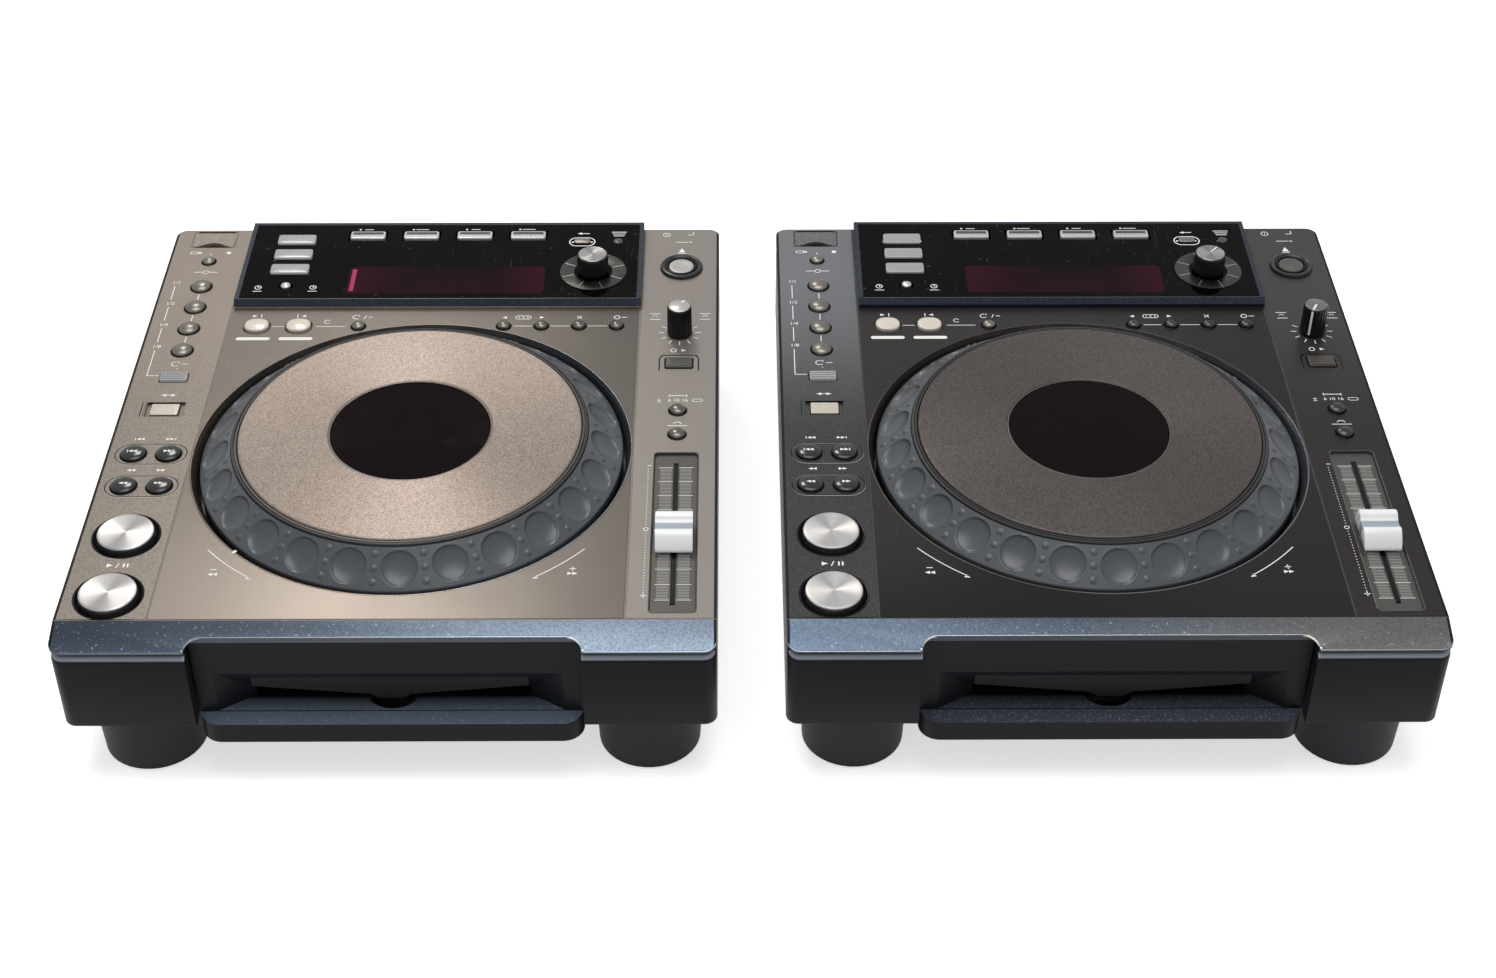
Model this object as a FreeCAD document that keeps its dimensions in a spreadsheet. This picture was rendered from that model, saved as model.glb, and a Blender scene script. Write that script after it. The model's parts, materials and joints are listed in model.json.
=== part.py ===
"""A pair of table-top disc players for a disc jockey, built as an assembly.

Both players are the same machine, so every piece is drawn once for a player that stands on
the middle line, and is then placed left and right. Lengths are millimetres. X runs to the
right, Y from front to back, Z up, and the pair stands on Z = 0 about the origin.
"""
import FreeCAD, Part
import Sketcher
import os
import re
import sys

Vector = FreeCAD.Vector

# ---------------------------------------------------------------- the sheet of sizes
SIZES = [
    # the two machines
    ("player_width", 305.0, "width of one player"),
    ("case_depth", 346.0, "depth of one player, front face to rear wall"),
    ("player_gap", 32.0, "space between the two players"),
    ("deck_top", 87.0, "height of the control deck above the table"),
    ("foot_height", 36.0, "height of the case floor above the table"),
    # lower case
    ("case_wall", 2.5, "wall of the lower case"),
    ("case_top", 79.6, "upper edge of the lower case"),
    ("corner_radius", 6.0, "rounding of the case's upright corners"),
    ("tongue_wall", 1.6, "rib of the lower case that carries the deck panel"),
    ("tongue_inset", 4.0, "outer face of that rib, from the outer face of the case"),
    ("tongue_setback", 1.0, "front of that rib, behind the solid part of the deck's strip"),
    ("case_land", 6.0, "height of the thick upper edge of the lower case"),
    ("sump_low", 25.8, "underside of the deeper middle part of the case"),
    ("sump_half_width", 89.0, "half the width of that part"),
    ("sump_depth", 205.0, "length of that part, front to back"),
    # deck panel
    ("deck_skin", 4.0, "thickness of the deck panel"),
    ("rim_low", 81.4, "lower edge of the deck panel's rim"),
    ("rim_wall", 3.0, "thickness of the rim"),
    ("boss_radius", 2.5, "bosses that carry the boards under the keys"),
    ("boss_from_side", 14.0, "bosses beside the columns, from the player's side"),
    ("row_boss_offset", 6.5, "bosses behind the row of keys, from that row"),
    ("strip_depth", 17.5, "depth of the sloping strip along the front edge"),
    ("strip_drop", 5.0, "how far that strip falls"),
    ("strip_solid", 12.0, "solid part of the strip behind the front edge"),
    # front recess and disc slot
    ("recess_half_width", 90.5, "half the width of the recess in the front"),
    ("recess_depth", 8.0, "depth of that recess"),
    ("bezel_gap", 0.7, "gap at each end of the slot bezel"),
    ("bezel_wall", 2.5, "wall of the slot bezel"),
    ("lip_depth", 13.0, "depth of the shelf in front of the slot"),
    ("lip_front_top", 37.0, "front edge of the shelf"),
    ("lip_rear_top", 38.6, "rear edge of the shelf"),
    ("lip_corner", 10.0, "rounding of the shelf's front corners"),
    ("funnel_top", 62.0, "upper edge of the funnel that leads to the slot"),
    ("funnel_margin", 9.5, "from the recess's side to the funnel's mouth"),
    ("slot_from_front", 18.0, "start of the slot proper"),
    ("slot_length", 4.0, "length of the slot proper, front to back"),
    ("slot_half_width", 64.5, "half the width of the slot"),
    ("slot_low", 39.2, "lower face of the slot"),
    ("slot_high", 44.9, "upper face of the slot"),
    ("guard_from_front", 11.0, "front face of the dust guard over the slot"),
    ("guard_wall", 1.5, "thickness of the dust guard"),
    ("guard_low", 46.2, "lower edge of the guard beside its middle"),
    ("guard_end_low", 51.5, "lower edge of the guard at its ends"),
    ("guard_tab_low", 43.6, "lower edge of the guard's middle tab"),
    ("guard_tab_half_width", 6.0, "half the width of that tab"),
    ("notch_half_width", 9.7, "half the width of the finger notch at the shelf's rear edge"),
    ("notch_depth", 4.0, "how far the finger notch reaches forward"),
    ("notch_low", 31.0, "floor of the finger notch"),
    # feet and screws
    ("foot_radius_low", 24.5, "foot, radius on the table"),
    ("foot_radius_top", 26.0, "foot, radius under the case"),
    ("foot_chamfer", 1.5, "chamfer round the foot on the table"),
    ("foot_screw_tip", 1.5, "how far a foot screw reaches into the case"),
    ("foot_x", 119.5, "feet, distance from the middle of the player"),
    ("foot_from_front", 31.0, "front feet, centre from the front face"),
    ("foot_from_back", 46.0, "rear feet, centre from the rear wall"),
    ("foot_bore_radius", 5.5, "bore for the screw head in a foot"),
    ("foot_bore_depth", 22.0, "depth of that bore"),
    ("screw_radius", 1.5, "shank of the case and foot screws"),
    ("screw_head_radius", 3.2, "head of those screws"),
    ("screw_head_height", 2.0, "height of that head"),
    ("screw_bite", 9.0, "length of a case screw inside its post"),
    ("screw_clearance", 0.2, "gap round a screw shank in a plain hole"),
    ("post_radius", 3.2, "posts of the deck panel that take the case screws"),
    ("post_x", 143.5, "posts, distance from the middle of the player"),
    ("post_from_front", 8.5, "front posts, from the front face"),
    ("post_from_back", 12.0, "rear posts, from the rear wall"),
    # jog wheel
    ("jog_from_front", 143.4, "centre of the jog wheel"),
    ("well_radius", 109.6, "radius of the jog wheel's well"),
    ("well_wall", 2.0, "wall of the well"),
    ("well_floor", 70.0, "underside of the well's floor"),
    ("ring_radius", 105.0, "outer radius of the jog ring"),
    ("ring_edge_top", 85.0, "top of the jog ring's outer wall"),
    ("ring_edge_low", 77.0, "lower end of that wall"),
    ("ring_wall", 3.5, "wall of the jog ring"),
    ("rim_radius", 88.0, "radius of the ring's raised rim"),
    ("rim_slope_top", 99.0, "height at which the dimpled slope ends"),
    ("rim_top", 100.0, "top of the raised rim"),
    ("plate_radius", 84.9, "radius of the touch plate"),
    ("plate_clearance", 0.3, "gap round the touch plate"),
    ("plate_top", 100.8, "top of the touch plate"),
    ("plate_wall", 2.0, "thickness of the touch plate"),
    ("window_radius", 39.8, "radius of the fixed window in the jog wheel"),
    ("window_wall", 2.0, "thickness of that window"),
    ("window_drop", 0.5, "how far the window lies below the touch plate"),
    ("window_pocket", 3.0, "room round the window's cup inside the jog ring"),
    ("window_gap", 0.5, "gap between the window and the turning plate"),
    ("hub_radius", 24.0, "radius of the fixed post the jog wheel turns on"),
    ("hub_base_reach", 9.0, "foot of that post, past the post"),
    ("hub_lift", 1.0, "gap between the jog ring's web and the window's cup"),
    ("hub_bore_radius", 12.0, "bore of that post, for the wires"),
    ("running_clearance", 0.06, "radial clearance of a turning fit"),
    ("sleeve_wall", 5.0, "wall of the jog ring's bearing sleeve"),
    ("sleeve_low", 74.0, "lower end of that sleeve"),
    ("seat_wall", 2.5, "wall of the jog ring under the touch plate"),
    ("ring_lip", 2.2, "wall of the jog ring at its edge"),
    ("plate_edge", 0.6, "chamfer of the touch plate"),
    ("web_low", 84.0, "underside of the jog ring's web"),
    ("web_top", 88.0, "top of that web"),
    ("dimple_count", 25, "finger dimples round the jog ring"),
    ("dimple_radius", 8.6, "radius of a dimple's edge"),
    ("dimple_depth", 1.7, "depth of a dimple"),
    ("dimple_phase", -1.3, "angle of the first dimple from the X axis, degrees"),
    # controls on the deck
    ("key_travel", 0.8, "travel of a key"),
    ("key_clearance", 0.3, "gap round a key in its hole"),
    ("key_rise", 2.4, "how far a key stands above the deck"),
    ("key_play", 0.1, "free play of a key at rest"),
    ("strip_width", 4.0, "strip that joins the keys of one moulding"),
    ("stem_width", 4.0, "stem of a straight-sided key"),
    ("flange_extra", 1.2, "how far a key's flange reaches past its cap"),
    ("flange_wall", 1.2, "thickness of a key's flange"),
    ("switch_height", 3.2, "height of a switch on its board"),
    ("switch_side", 6.0, "side of a switch"),
    ("board_wall", 1.6, "thickness of a circuit board"),
    ("key_board_top", 74.6, "top of the boards under the keys"),
    ("left_column_x", 130.1, "left column of keys, from the middle of the player"),
    ("right_column_x", 131.8, "right column of controls, from the middle of the player"),
    ("big_button_radius", 13.5, "play and cue buttons"),
    ("big_button_rise", 3.2, "how far those stand above the deck"),
    ("big_ring_radius", 16.35, "dark ring round those buttons"),
    ("big_ring_depth", 1.6, "depth of that ring"),
    ("play_from_front", 34.0, "play button"),
    ("cue_from_front", 77.3, "cue button"),
    ("pair_spread", 17.5, "distance between the two keys of a search pair"),
    ("pair_radius", 6.2, "radius of a search key"),
    ("search_from_front", 115.3, "search keys"),
    ("track_search_from_front", 140.8, "track search keys"),
    ("direction_from_front", 178.2, "direction key"),
    ("direction_length", 14.5, "direction key, side to side"),
    ("direction_width", 9.5, "direction key, front to back"),
    ("direction_rise", 0.2, "how far the direction key stands above the deck"),
    ("direction_margin", 2.5, "trough round the direction and jog mode keys"),
    ("trough_depth", 1.4, "depth of those troughs"),
    ("select_from_front", 205.2, "loop select key"),
    ("select_length", 14.0, "loop select key, side to side"),
    ("select_width", 7.0, "loop select key, front to back"),
    ("loop_key_first", 229.3, "first of the four automatic loop keys"),
    ("loop_key_pitch", 19.9, "distance between those keys"),
    ("loop_key_radius", 5.5, "radius of those keys"),
    ("usb_stop_from_front", 314.0, "memory stop key"),
    ("small_key_radius", 3.6, "radius of the small round keys"),
    ("loop_row_from_front", 251.2, "row of keys between the display and the jog wheel"),
    ("loop_in_x", -94.1, "loop in key"),
    ("loop_out_x", -71.8, "loop out key"),
    ("loop_in_length", 13.5, "loop in and out keys, side to side"),
    ("loop_in_width", 12.0, "loop in and out keys, front to back"),
    ("reloop_x", -40.0, "reloop key"),
    ("call_first_x", 37.6, "first of the four call keys"),
    ("call_pitch", 20.1, "distance between the call keys"),
    ("tempo_key_radius", 4.35, "radius of the tempo keys"),
    ("tempo_range_from_front", 176.1, "tempo range key"),
    ("master_from_front", 156.1, "master tempo key"),
    ("jog_mode_from_front", 217.2, "jog mode key"),
    ("jog_mode_length", 14.0, "jog mode key, side to side"),
    ("jog_mode_width", 9.0, "jog mode key, front to back"),
    ("eject_from_front", 306.8, "eject key"),
    ("eject_radius", 7.0, "radius of the eject key"),
    ("eject_ring_radius", 11.5, "radius of the raised ring round it"),
    ("eject_ring_rise", 1.2, "how far that ring stands above the deck"),
    ("vinyl_from_front", 244.6, "vinyl speed knob"),
    ("vinyl_radius", 6.6, "radius of that knob"),
    ("vinyl_height", 18.0, "height of that knob above the deck"),
    ("knob_lift", 0.4, "gap under a knob"),
    ("pot_radius", 5.5, "turning control under a knob"),
    ("pot_height", 4.0, "height of that control on its board"),
    ("shaft_radius", 3.0, "shaft of a knob"),
    # tempo fader
    ("fader_from_front", 81.0, "middle of the fader's trough"),
    ("fader_rest", -5.5, "where the fader cap rests, from that middle"),
    ("trough_length", 119.8, "fader trough, front to back"),
    ("trough_width", 21.8, "fader trough, side to side"),
    ("fader_plate_drop", 1.0, "how far the fader plate lies below the deck"),
    ("fader_plate_wall", 1.2, "thickness of the fader plate"),
    ("fader_stroke", 100.0, "stroke of the fader"),
    ("fader_stem_length", 5.0, "fader stem, front to back"),
    ("fader_stem_width", 1.2, "fader stem, side to side"),
    ("fader_slot_clearance", 0.6, "gap round the fader stem"),
    ("fader_body_height", 9.0, "height of the fader's body"),
    ("fader_body_width", 13.0, "fader's body, side to side"),
    ("fader_body_margin", 4.0, "fader's body, past each end of its slot"),
    ("fader_floor", 2.0, "floor of the fader's body"),
    ("fader_ledge", 3.0, "how far the fader's frame reaches under the deck"),
    ("fader_plate_gap", 0.1, "gap round the fader plate"),
    ("cap_chamfer", 3.0, "sloping ends of the fader cap"),
    ("cap_length", 24.0, "fader cap, front to back"),
    ("cap_width", 18.0, "fader cap, side to side"),
    ("cap_lift", 0.6, "gap between the cap and the deck"),
    ("cap_height", 9.4, "height of the cap"),
    # display
    ("display_left_x", -108.8, "left edge of the display housing"),
    ("display_right_x", 110.4, "right edge of the display housing"),
    ("display_from_front", 267.8, "front edge of the display housing"),
    ("display_rise", 5.2, "height of the display above the deck"),
    ("display_wall", 2.4, "wall of the display housing"),
    ("display_setback", 0.4, "display housing, from the rear wall"),
    ("display_opening_edge", 6.0, "deck opening under the display, from the housing's edge"),
    ("display_boss_inset", 3.2, "bosses under the display, from its ends"),
    ("display_boss_front", 12.0, "front bosses under the display, from its front edge"),
    ("display_boss_back", 16.2, "rear bosses under the display, from the rear wall"),
    ("bevel_depth", 2.2, "front bevel of the display housing, front to back"),
    ("bevel_drop", 3.0, "height of that bevel"),
    ("glass_ledge", 3.0, "ledge under the display window"),
    ("glass_wall", 1.4, "thickness of the display window"),
    ("glass_gap", 0.1, "gap round the display window"),
    ("source_x", -82.5, "source keys"),
    ("source_first", 298.3, "first of the three source keys"),
    ("source_pitch", 14.65, "distance between the source keys"),
    ("source_length", 21.0, "source and menu keys, side to side"),
    ("source_width", 9.0, "source and menu keys, front to back"),
    ("time_mode_from_front", 282.0, "time mode key"),
    ("menu_first_x", -43.5, "first of the four menu keys"),
    ("menu_pitch", 29.8, "distance between the menu keys"),
    ("menu_from_front", 332.0, "row of menu keys"),
    ("back_x", 76.3, "back key"),
    ("tag_x", 96.3, "tag key"),
    ("back_from_front", 325.6, "back and tag keys"),
    ("source_rise", 1.0, "how far those keys stand above the window"),
    ("menu_strip_width", 7.0, "strip that joins the menu keys, front to back"),
    ("back_length", 11.0, "back key, side to side"),
    ("back_width", 7.4, "back key, front to back"),
    ("back_rise", 1.2, "how far the back and tag keys stand above the window"),
    ("tag_radius", 2.8, "radius of the tag key"),
    ("browse_x", 83.7, "browse knob"),
    ("browse_from_front", 296.0, "browse knob"),
    ("browse_radius", 8.65, "radius of the browse knob"),
    ("browse_height", 17.0, "height of that knob above the deck"),
    ("browse_ring_radius", 18.5, "radius of the raised ring round the browse knob"),
    ("browse_ring_rise", 0.3, "height of that ring above the window"),
    ("browse_ring_gap", 1.0, "gap between that ring and the knob"),
    ("module_left_x", -54.0, "display module, left edge"),
    ("module_right_x", 58.0, "display module, right edge"),
    ("module_depth", 36.0, "display module, front to back"),
    ("module_height", 6.0, "height of the display module"),
    # memory socket and its lid
    ("lid_x", -130.3, "middle of the memory lid"),
    ("lid_length", 20.0, "memory lid, side to side"),
    ("lid_width", 14.0, "memory lid, front to back"),
    ("lid_wall", 1.6, "thickness of the lid"),
    ("lid_from_back", 3.4, "lid's hinge line, from the rear wall"),
    ("lid_gap", 0.4, "gap round the lid"),
    ("lid_seat_gap", 0.5, "gap under the lid"),
    ("lid_scoop_radius", 5.0, "finger scoop in front of the lid"),
    ("lid_pocket_back", 2.0, "room behind the lid's hinge line"),
    ("hinge_pin_radius", 0.6, "pins of the lid"),
    ("pin_reach", 1.4, "how far a pin stands out of the lid"),
    ("socket_length", 12.4, "memory socket, side to side"),
    ("socket_width", 4.6, "memory socket, front to back"),
    ("socket_depth", 12.0, "depth of the memory socket"),
    ("socket_wall", 0.4, "wall of the memory socket"),
    ("socket_floor", 1.0, "floor of the memory socket"),
    ("socket_gap", 0.1, "gap round and over the memory socket"),
    ("socket_offset", 1.0, "memory socket, forward of the lid's middle"),
    # disc drive
    ("pan_half_width", 72.0, "half the width of the drive frame"),
    ("pan_wall", 1.5, "sheet of the drive frame"),
    ("pan_from_front", 24.0, "front end of the drive frame"),
    ("pan_length", 182.0, "length of the drive frame"),
    ("pan_top", 58.0, "top of the drive frame"),
    ("spindle_from_front", 92.0, "turntable of the drive"),
    ("spindle_radius", 1.0, "shaft of the spindle motor"),
    ("turntable_radius", 13.0, "radius of the turntable"),
    ("turntable_low", 36.0, "underside of the turntable"),
    ("turntable_top", 38.2, "face of the turntable"),
    ("centring_radius", 7.3, "centring cone of the turntable"),
    ("centring_top", 39.1, "top of that cone"),
    ("motor_radius", 12.0, "spindle motor"),
    ("motor_top", 35.2, "top of the spindle motor"),
    ("roller_from_front", 31.0, "loading roller"),
    ("roller_radius", 3.4, "radius of the loading roller"),
    ("roller_height", 35.6, "axis of the loading roller"),
    ("roller_half_length", 62.0, "half the length of the roller's rubber"),
    ("roller_shaft_radius", 1.5, "shaft of the loading roller"),
    ("gearmotor_radius", 6.3, "motor of the loading roller"),
    ("gearmotor_length", 14.0, "length of that motor"),
    ("rod_x", 20.0, "sled rods, from the middle of the player"),
    ("rod_radius", 1.5, "radius of the sled rods"),
    ("rod_height", 33.8, "axis of the sled rods"),
    ("rod_start", 105.5, "front bracket of the sled rods"),
    ("rod_spare", 23.3, "length of the sled rods past the sled's last place"),
    ("bracket_length", 3.0, "brackets of the sled rods, front to back"),
    ("bracket_margin", 4.0, "bracket, past the middle of each rod"),
    ("bracket_cap", 1.2, "metal of a bracket over its rods"),
    ("sled_start", 109.2, "front end of the sled at rest"),
    ("sled_length", 24.0, "length of the sled"),
    ("sled_low", 31.2, "underside of the sled"),
    ("sled_top", 37.0, "top of the sled"),
    ("sled_travel", 33.0, "travel of the sled along the disc"),
    ("sled_margin", 4.5, "sled, past the middle of each rod"),
    ("sled_motor_radius", 6.0, "motor that drives the sled"),
    ("sled_motor_offset", 16.0, "that motor, from the rod beside it"),
    ("sled_motor_rise", 2.5, "top of that motor above the rods' axis"),
    ("lens_radius", 3.0, "lens on the sled"),
    ("lens_setback", 8.0, "lens, from the front end of the sled"),
    ("lens_top", 38.6, "top of the lens"),
    ("clamp_radius", 14.0, "disc clamp over the turntable"),
    ("clamp_low", 50.0, "underside of the disc clamp"),
    ("clamp_wall", 2.0, "flange of the disc clamp"),
    ("clamp_cap", 1.5, "head of the disc clamp, over the roof"),
    ("clamp_gap", 0.3, "gap round the disc clamp in the roof"),
    # boards and supply
    ("board_rise", 6.0, "height of the main boards above the case floor"),
    ("main_board_left_x", -138.0, "main board, left edge"),
    ("main_board_right_x", 48.0, "main board, right edge"),
    ("supply_left_x", 60.0, "power supply, left edge"),
    ("supply_right_x", 138.0, "power supply, right edge"),
    ("boards_from_front", 232.0, "front edge of the main board and the supply"),
    ("boards_depth", 90.0, "main board, front to back"),
    ("supply_depth", 78.0, "power supply, front to back"),
    ("board_post_radius", 3.0, "posts of the boards"),
    ("board_post_inset", 5.0, "posts of the boards, from a board's edges"),
    ("chip_side", 24.0, "chips on the main board"),
    ("chip_height", 3.0, "height of those chips"),
    ("chip_first_x", -100.0, "first of the three chips"),
    ("chip_pitch", 50.0, "distance between the chips"),
    ("transformer_inset", 9.0, "transformer, from two edges of its board"),
    ("transformer_length", 34.0, "transformer, side to side"),
    ("transformer_depth", 30.0, "transformer, front to back"),
    ("transformer_height", 20.0, "height of the transformer"),
    ("capacitor_radius", 8.0, "capacitors of the power supply"),
    ("capacitor_height", 18.0, "height of the capacitors"),
    ("capacitor_inset", 16.0, "capacitors, from two edges of their board"),
    ("capacitor_pitch", 24.0, "distance between the capacitors"),
    ("column_board_inner", 112.6, "inner edge of the boards under the side columns"),
    ("column_board_margin", 10.0, "those boards, from the player's side"),
    ("left_board_start", 22.0, "front end of the left board"),
    ("right_board_start", 148.0, "front end of the right board"),
    ("column_board_end", 322.0, "rear end of both"),
    ("row_board_front", 4.0, "boards under the row of keys, in front of that row"),
    ("row_board_back", 8.0, "those boards, behind that row"),
    ("row_board_margin", 6.0, "those boards, past their end keys"),
    ("display_board_front", 7.0, "board under the display, from its front edge"),
    ("display_board_back", 9.0, "that board, from the rear wall"),
    ("display_board_side", 1.2, "that board, from the display's ends"),
    ("module_gap", 0.4, "gap between the display module and the window"),
    # rear sockets
    ("inlet_x", 96.0, "mains inlet"),
    ("inlet_length", 24.0, "mains inlet, side to side"),
    ("inlet_height", 16.0, "mains inlet, up and down"),
    ("inlet_depth", 16.0, "depth of the mains inlet"),
    ("inlet_wall", 1.8, "wall of the mains inlet"),
    ("socket_height", 60.0, "height of the rear sockets above the table"),
    ("phono_radius", 4.6, "signal sockets"),
    ("phono_bore_radius", 1.7, "bore of a signal socket"),
    ("phono_length", 14.0, "length of a signal socket"),
    ("phono_end", 4.0, "closed inner end of a signal socket"),
    ("phono_first_x", -135.0, "first signal socket"),
    ("phono_pitch", 14.4, "distance between signal sockets"),
    ("jack_window_height", 16.0, "window in the rear wall for the signal sockets, up and down"),
    ("jack_window_margin", 1.6, "that window, past the end sockets"),
    ("jack_wall", 2.0, "flange of a signal socket, behind the rear wall"),
    ("jack_overlap", 2.0, "how far that flange reaches over the window's edge"),
    ("jack_gap", 0.4, "gap between the flanges"),
]

doc = FreeCAD.newDocument("disc_players")
sheet = doc.addObject("Spreadsheet::Sheet", "Sizes")
for row, (alias, number, meaning) in enumerate(SIZES, start=1):
    sheet.set(f"A{row}", meaning)
    sheet.set(f"B{row}", repr(number))
    sheet.setAlias(f"B{row}", alias)
doc.recompute()

SIDES = ("left", "right")
holes = {"deck": [], "glass": []}
subparts = []


# ---------------------------------------------------------------- helpers
def linked(text):
    """The expression with each plain word turned into that cell of the sheet."""
    return re.sub(r"\b([a-z][a-z_]*)\b(?!\()", r"Sizes.\1", str(text))


def size(text):
    """The value of an expression of the sheet, as a number."""
    answer = sheet.evalExpression(linked(text))
    return float(getattr(answer, "Value", answer))


def bind(item, **texts):
    """Ties properties of an object to expressions of the sheet."""
    paths = {"x": ".Placement.Base.x", "y": ".Placement.Base.y", "z": ".Placement.Base.z"}
    for key, text in texts.items():
        item.setExpression(paths.get(key, key), linked(text))
    return item


def from_front(text):
    """Y of a place that is measured from the front face."""
    return f"({text}) - case_depth / 2"


def from_back(text):
    """Y of a place that is measured from the rear wall."""
    return f"case_depth / 2 - ({text})"


def box(name, low, high):
    """A block between two corners, each a triple of expressions."""
    item = doc.addObject("Part::Box", name)
    spans = [f"({top}) - ({bottom})" for bottom, top in zip(low, high)]
    bind(item, Length=spans[0], Width=spans[1], Height=spans[2])
    return bind(item, x=low[0], y=low[1], z=low[2])


def centred_box(name, centre, length, width, low, high):
    """A block about an upright line."""
    x, y = centre
    low_corner = (f"{x} - ({length}) / 2", f"{y} - ({width}) / 2", low)
    high_corner = (f"{x} + ({length}) / 2", f"{y} + ({width}) / 2", high)
    return box(name, low_corner, high_corner)


def rod(name, centre, radius, low, high):
    """An upright cylinder."""
    item = doc.addObject("Part::Cylinder", name)
    bind(item, Radius=radius, Height=f"({high}) - ({low})")
    return bind(item, x=centre[0], y=centre[1], z=low)


def lying_rod(name, start, radius, length, direction):
    """A cylinder along X or Y from its start."""
    item = doc.addObject("Part::Cylinder", name)
    turn = {"X": (Vector(0, 1, 0), 90), "Y": (Vector(1, 0, 0), -90)}[direction]
    item.Placement.Rotation = FreeCAD.Rotation(*turn)
    bind(item, Radius=radius, Height=length)
    return bind(item, x=start[0], y=start[1], z=start[2])


def fuse(name, items):
    item = doc.addObject("Part::MultiFuse", name)
    item.Shapes = items
    item.Refine = True
    return item


def group(name, items):
    item = doc.addObject("Part::Compound", name)
    item.Links = items
    return item


def cut(name, base, tools):
    item = doc.addObject("Part::Cut", name)
    item.Base = base
    item.Tool = tools[0] if len(tools) == 1 else fuse(name + "_tools", tools)
    item.Refine = True
    return item


def sketch_on(body, name, role, offset="0"):
    """An empty sketch on one of the body's own origin planes."""
    sketch = body.newObject("Sketcher::SketchObject", name)
    plane = [item for item in body.Origin.OriginFeatures if item.Role == role][0]
    sketch.AttachmentSupport = [(plane, "")]
    sketch.MapMode = "FlatFace"
    if offset != "0":
        sketch.setExpression(".AttachmentOffset.Base.z", linked(offset))
    return sketch


def polygon(sketch, points):
    """A closed outline whose corners are pairs of expressions."""
    first = len(sketch.Geometry)
    spots = [Vector(size(across), size(along), 0) for across, along in points]
    count = len(spots)
    lines = [Part.LineSegment(spots[i], spots[(i + 1) % count]) for i in range(count)]
    sketch.addGeometry(lines, False)
    for i in range(count):
        after = first + (i + 1) % count
        sketch.addConstraint(Sketcher.Constraint("Coincident", first + i, 2, after, 1))
    for i, pair in enumerate(points):
        for kind, text, number in zip(("DistanceX", "DistanceY"), pair, (spots[i].x, spots[i].y)):
            rule = Sketcher.Constraint(kind, -1, 1, first + i, 1, number)
            sketch.setExpression(f"Constraints[{sketch.addConstraint(rule)}]", linked(text))


def pad(body, name, role, points, length, offset="0", midplane=False):
    sketch = sketch_on(body, name + "_outline", role, offset)
    polygon(sketch, points)
    feature = body.newObject("PartDesign::Pad", name)
    feature.Profile = sketch
    feature.Midplane = midplane
    bind(feature, Length=length)
    return feature


def turned(name, points, x="0", y="0"):
    """A body turned about its own upright axis from an outline of radius and height."""
    body = doc.addObject("PartDesign::Body", name)
    sketch = sketch_on(body, name + "_section", "XZ_Plane")
    polygon(sketch, points)
    feature = body.newObject("PartDesign::Revolution", name + "_turn")
    feature.Profile = sketch
    feature.ReferenceAxis = (sketch, ["V_Axis"])
    feature.Angle = 360
    return bind(body, x=x, y=y)


def rounded(name, base, radius, wanted):
    """Rounds the edges of a piece that the test picks by their geometry."""
    doc.recompute()
    picked = [i for i, edge in enumerate(base.Shape.Edges, start=1) if wanted(edge)]
    item = doc.addObject("Part::Fillet", name)
    item.Base = base
    item.Edges = [(i, radius, radius) for i in picked]
    return item


def is_upright(edge):
    ends = [vertex.Point for vertex in edge.Vertexes]
    if len(ends) != 2:
        return False
    step = ends[1] - ends[0]
    return abs(step.x) < 1e-6 and abs(step.y) < 1e-6


def place_both(name, master):
    """One node that holds this piece of both players."""
    copies = []
    for side, sign in zip(SIDES, ("-", "")):
        copy = group(f"{name}_{side}", [master])
        copies.append(bind(copy, x=f"{sign}(player_width + player_gap) / 2"))
    node = group(name, copies)
    node.Label = name
    subparts.append(node)


def place_pair(name, master):
    """A node for the left player and one for the right player."""
    for side, sign in zip(SIDES, ("-", "")):
        node = group(f"{side}_{name}", [master])
        node.Label = f"{side}_{name}"
        bind(node, x=f"{sign}(player_width + player_gap) / 2")
        subparts.append(node)


# ---------------------------------------------------------------- places used more than once
WIDTH = "player_width / 2"
FRONT = from_front("0")
BACK = from_back("0")
SKIN_LOW = "deck_top - deck_skin"
FLOOR_TOP = "foot_height + case_wall"
JOG = ("0", from_front("jog_from_front"))
SWITCH_TOP = "key_board_top + switch_height"
STEM_LOW = f"{SWITCH_TOP} + key_travel + key_play"
FLANGE_TOP = f"{SKIN_LOW} - key_play"
GLASS_TOP = "deck_top + display_rise"
GLASS_LOW = f"{GLASS_TOP} - glass_wall"
KEY_BOARD_LOW = "key_board_top - board_wall"
LEFT_X = "-left_column_x"
RIGHT_X = "right_column_x"
FUNNEL = "(recess_half_width - funnel_margin)"
ROD_LENGTH = "(sled_start - rod_start + sled_length + sled_travel + rod_spare)"

FOOT_SPOTS = [
    (f"{sign}foot_x", place)
    for sign in ("-", "")
    for place in (from_front("foot_from_front"), from_back("foot_from_back"))
]
POST_SPOTS = [
    (f"{sign}post_x", place)
    for sign in ("-", "")
    for place in (from_front("post_from_front"), from_back("post_from_back"))
]


# ---------------------------------------------------------------- keys
switch_spots = []


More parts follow.
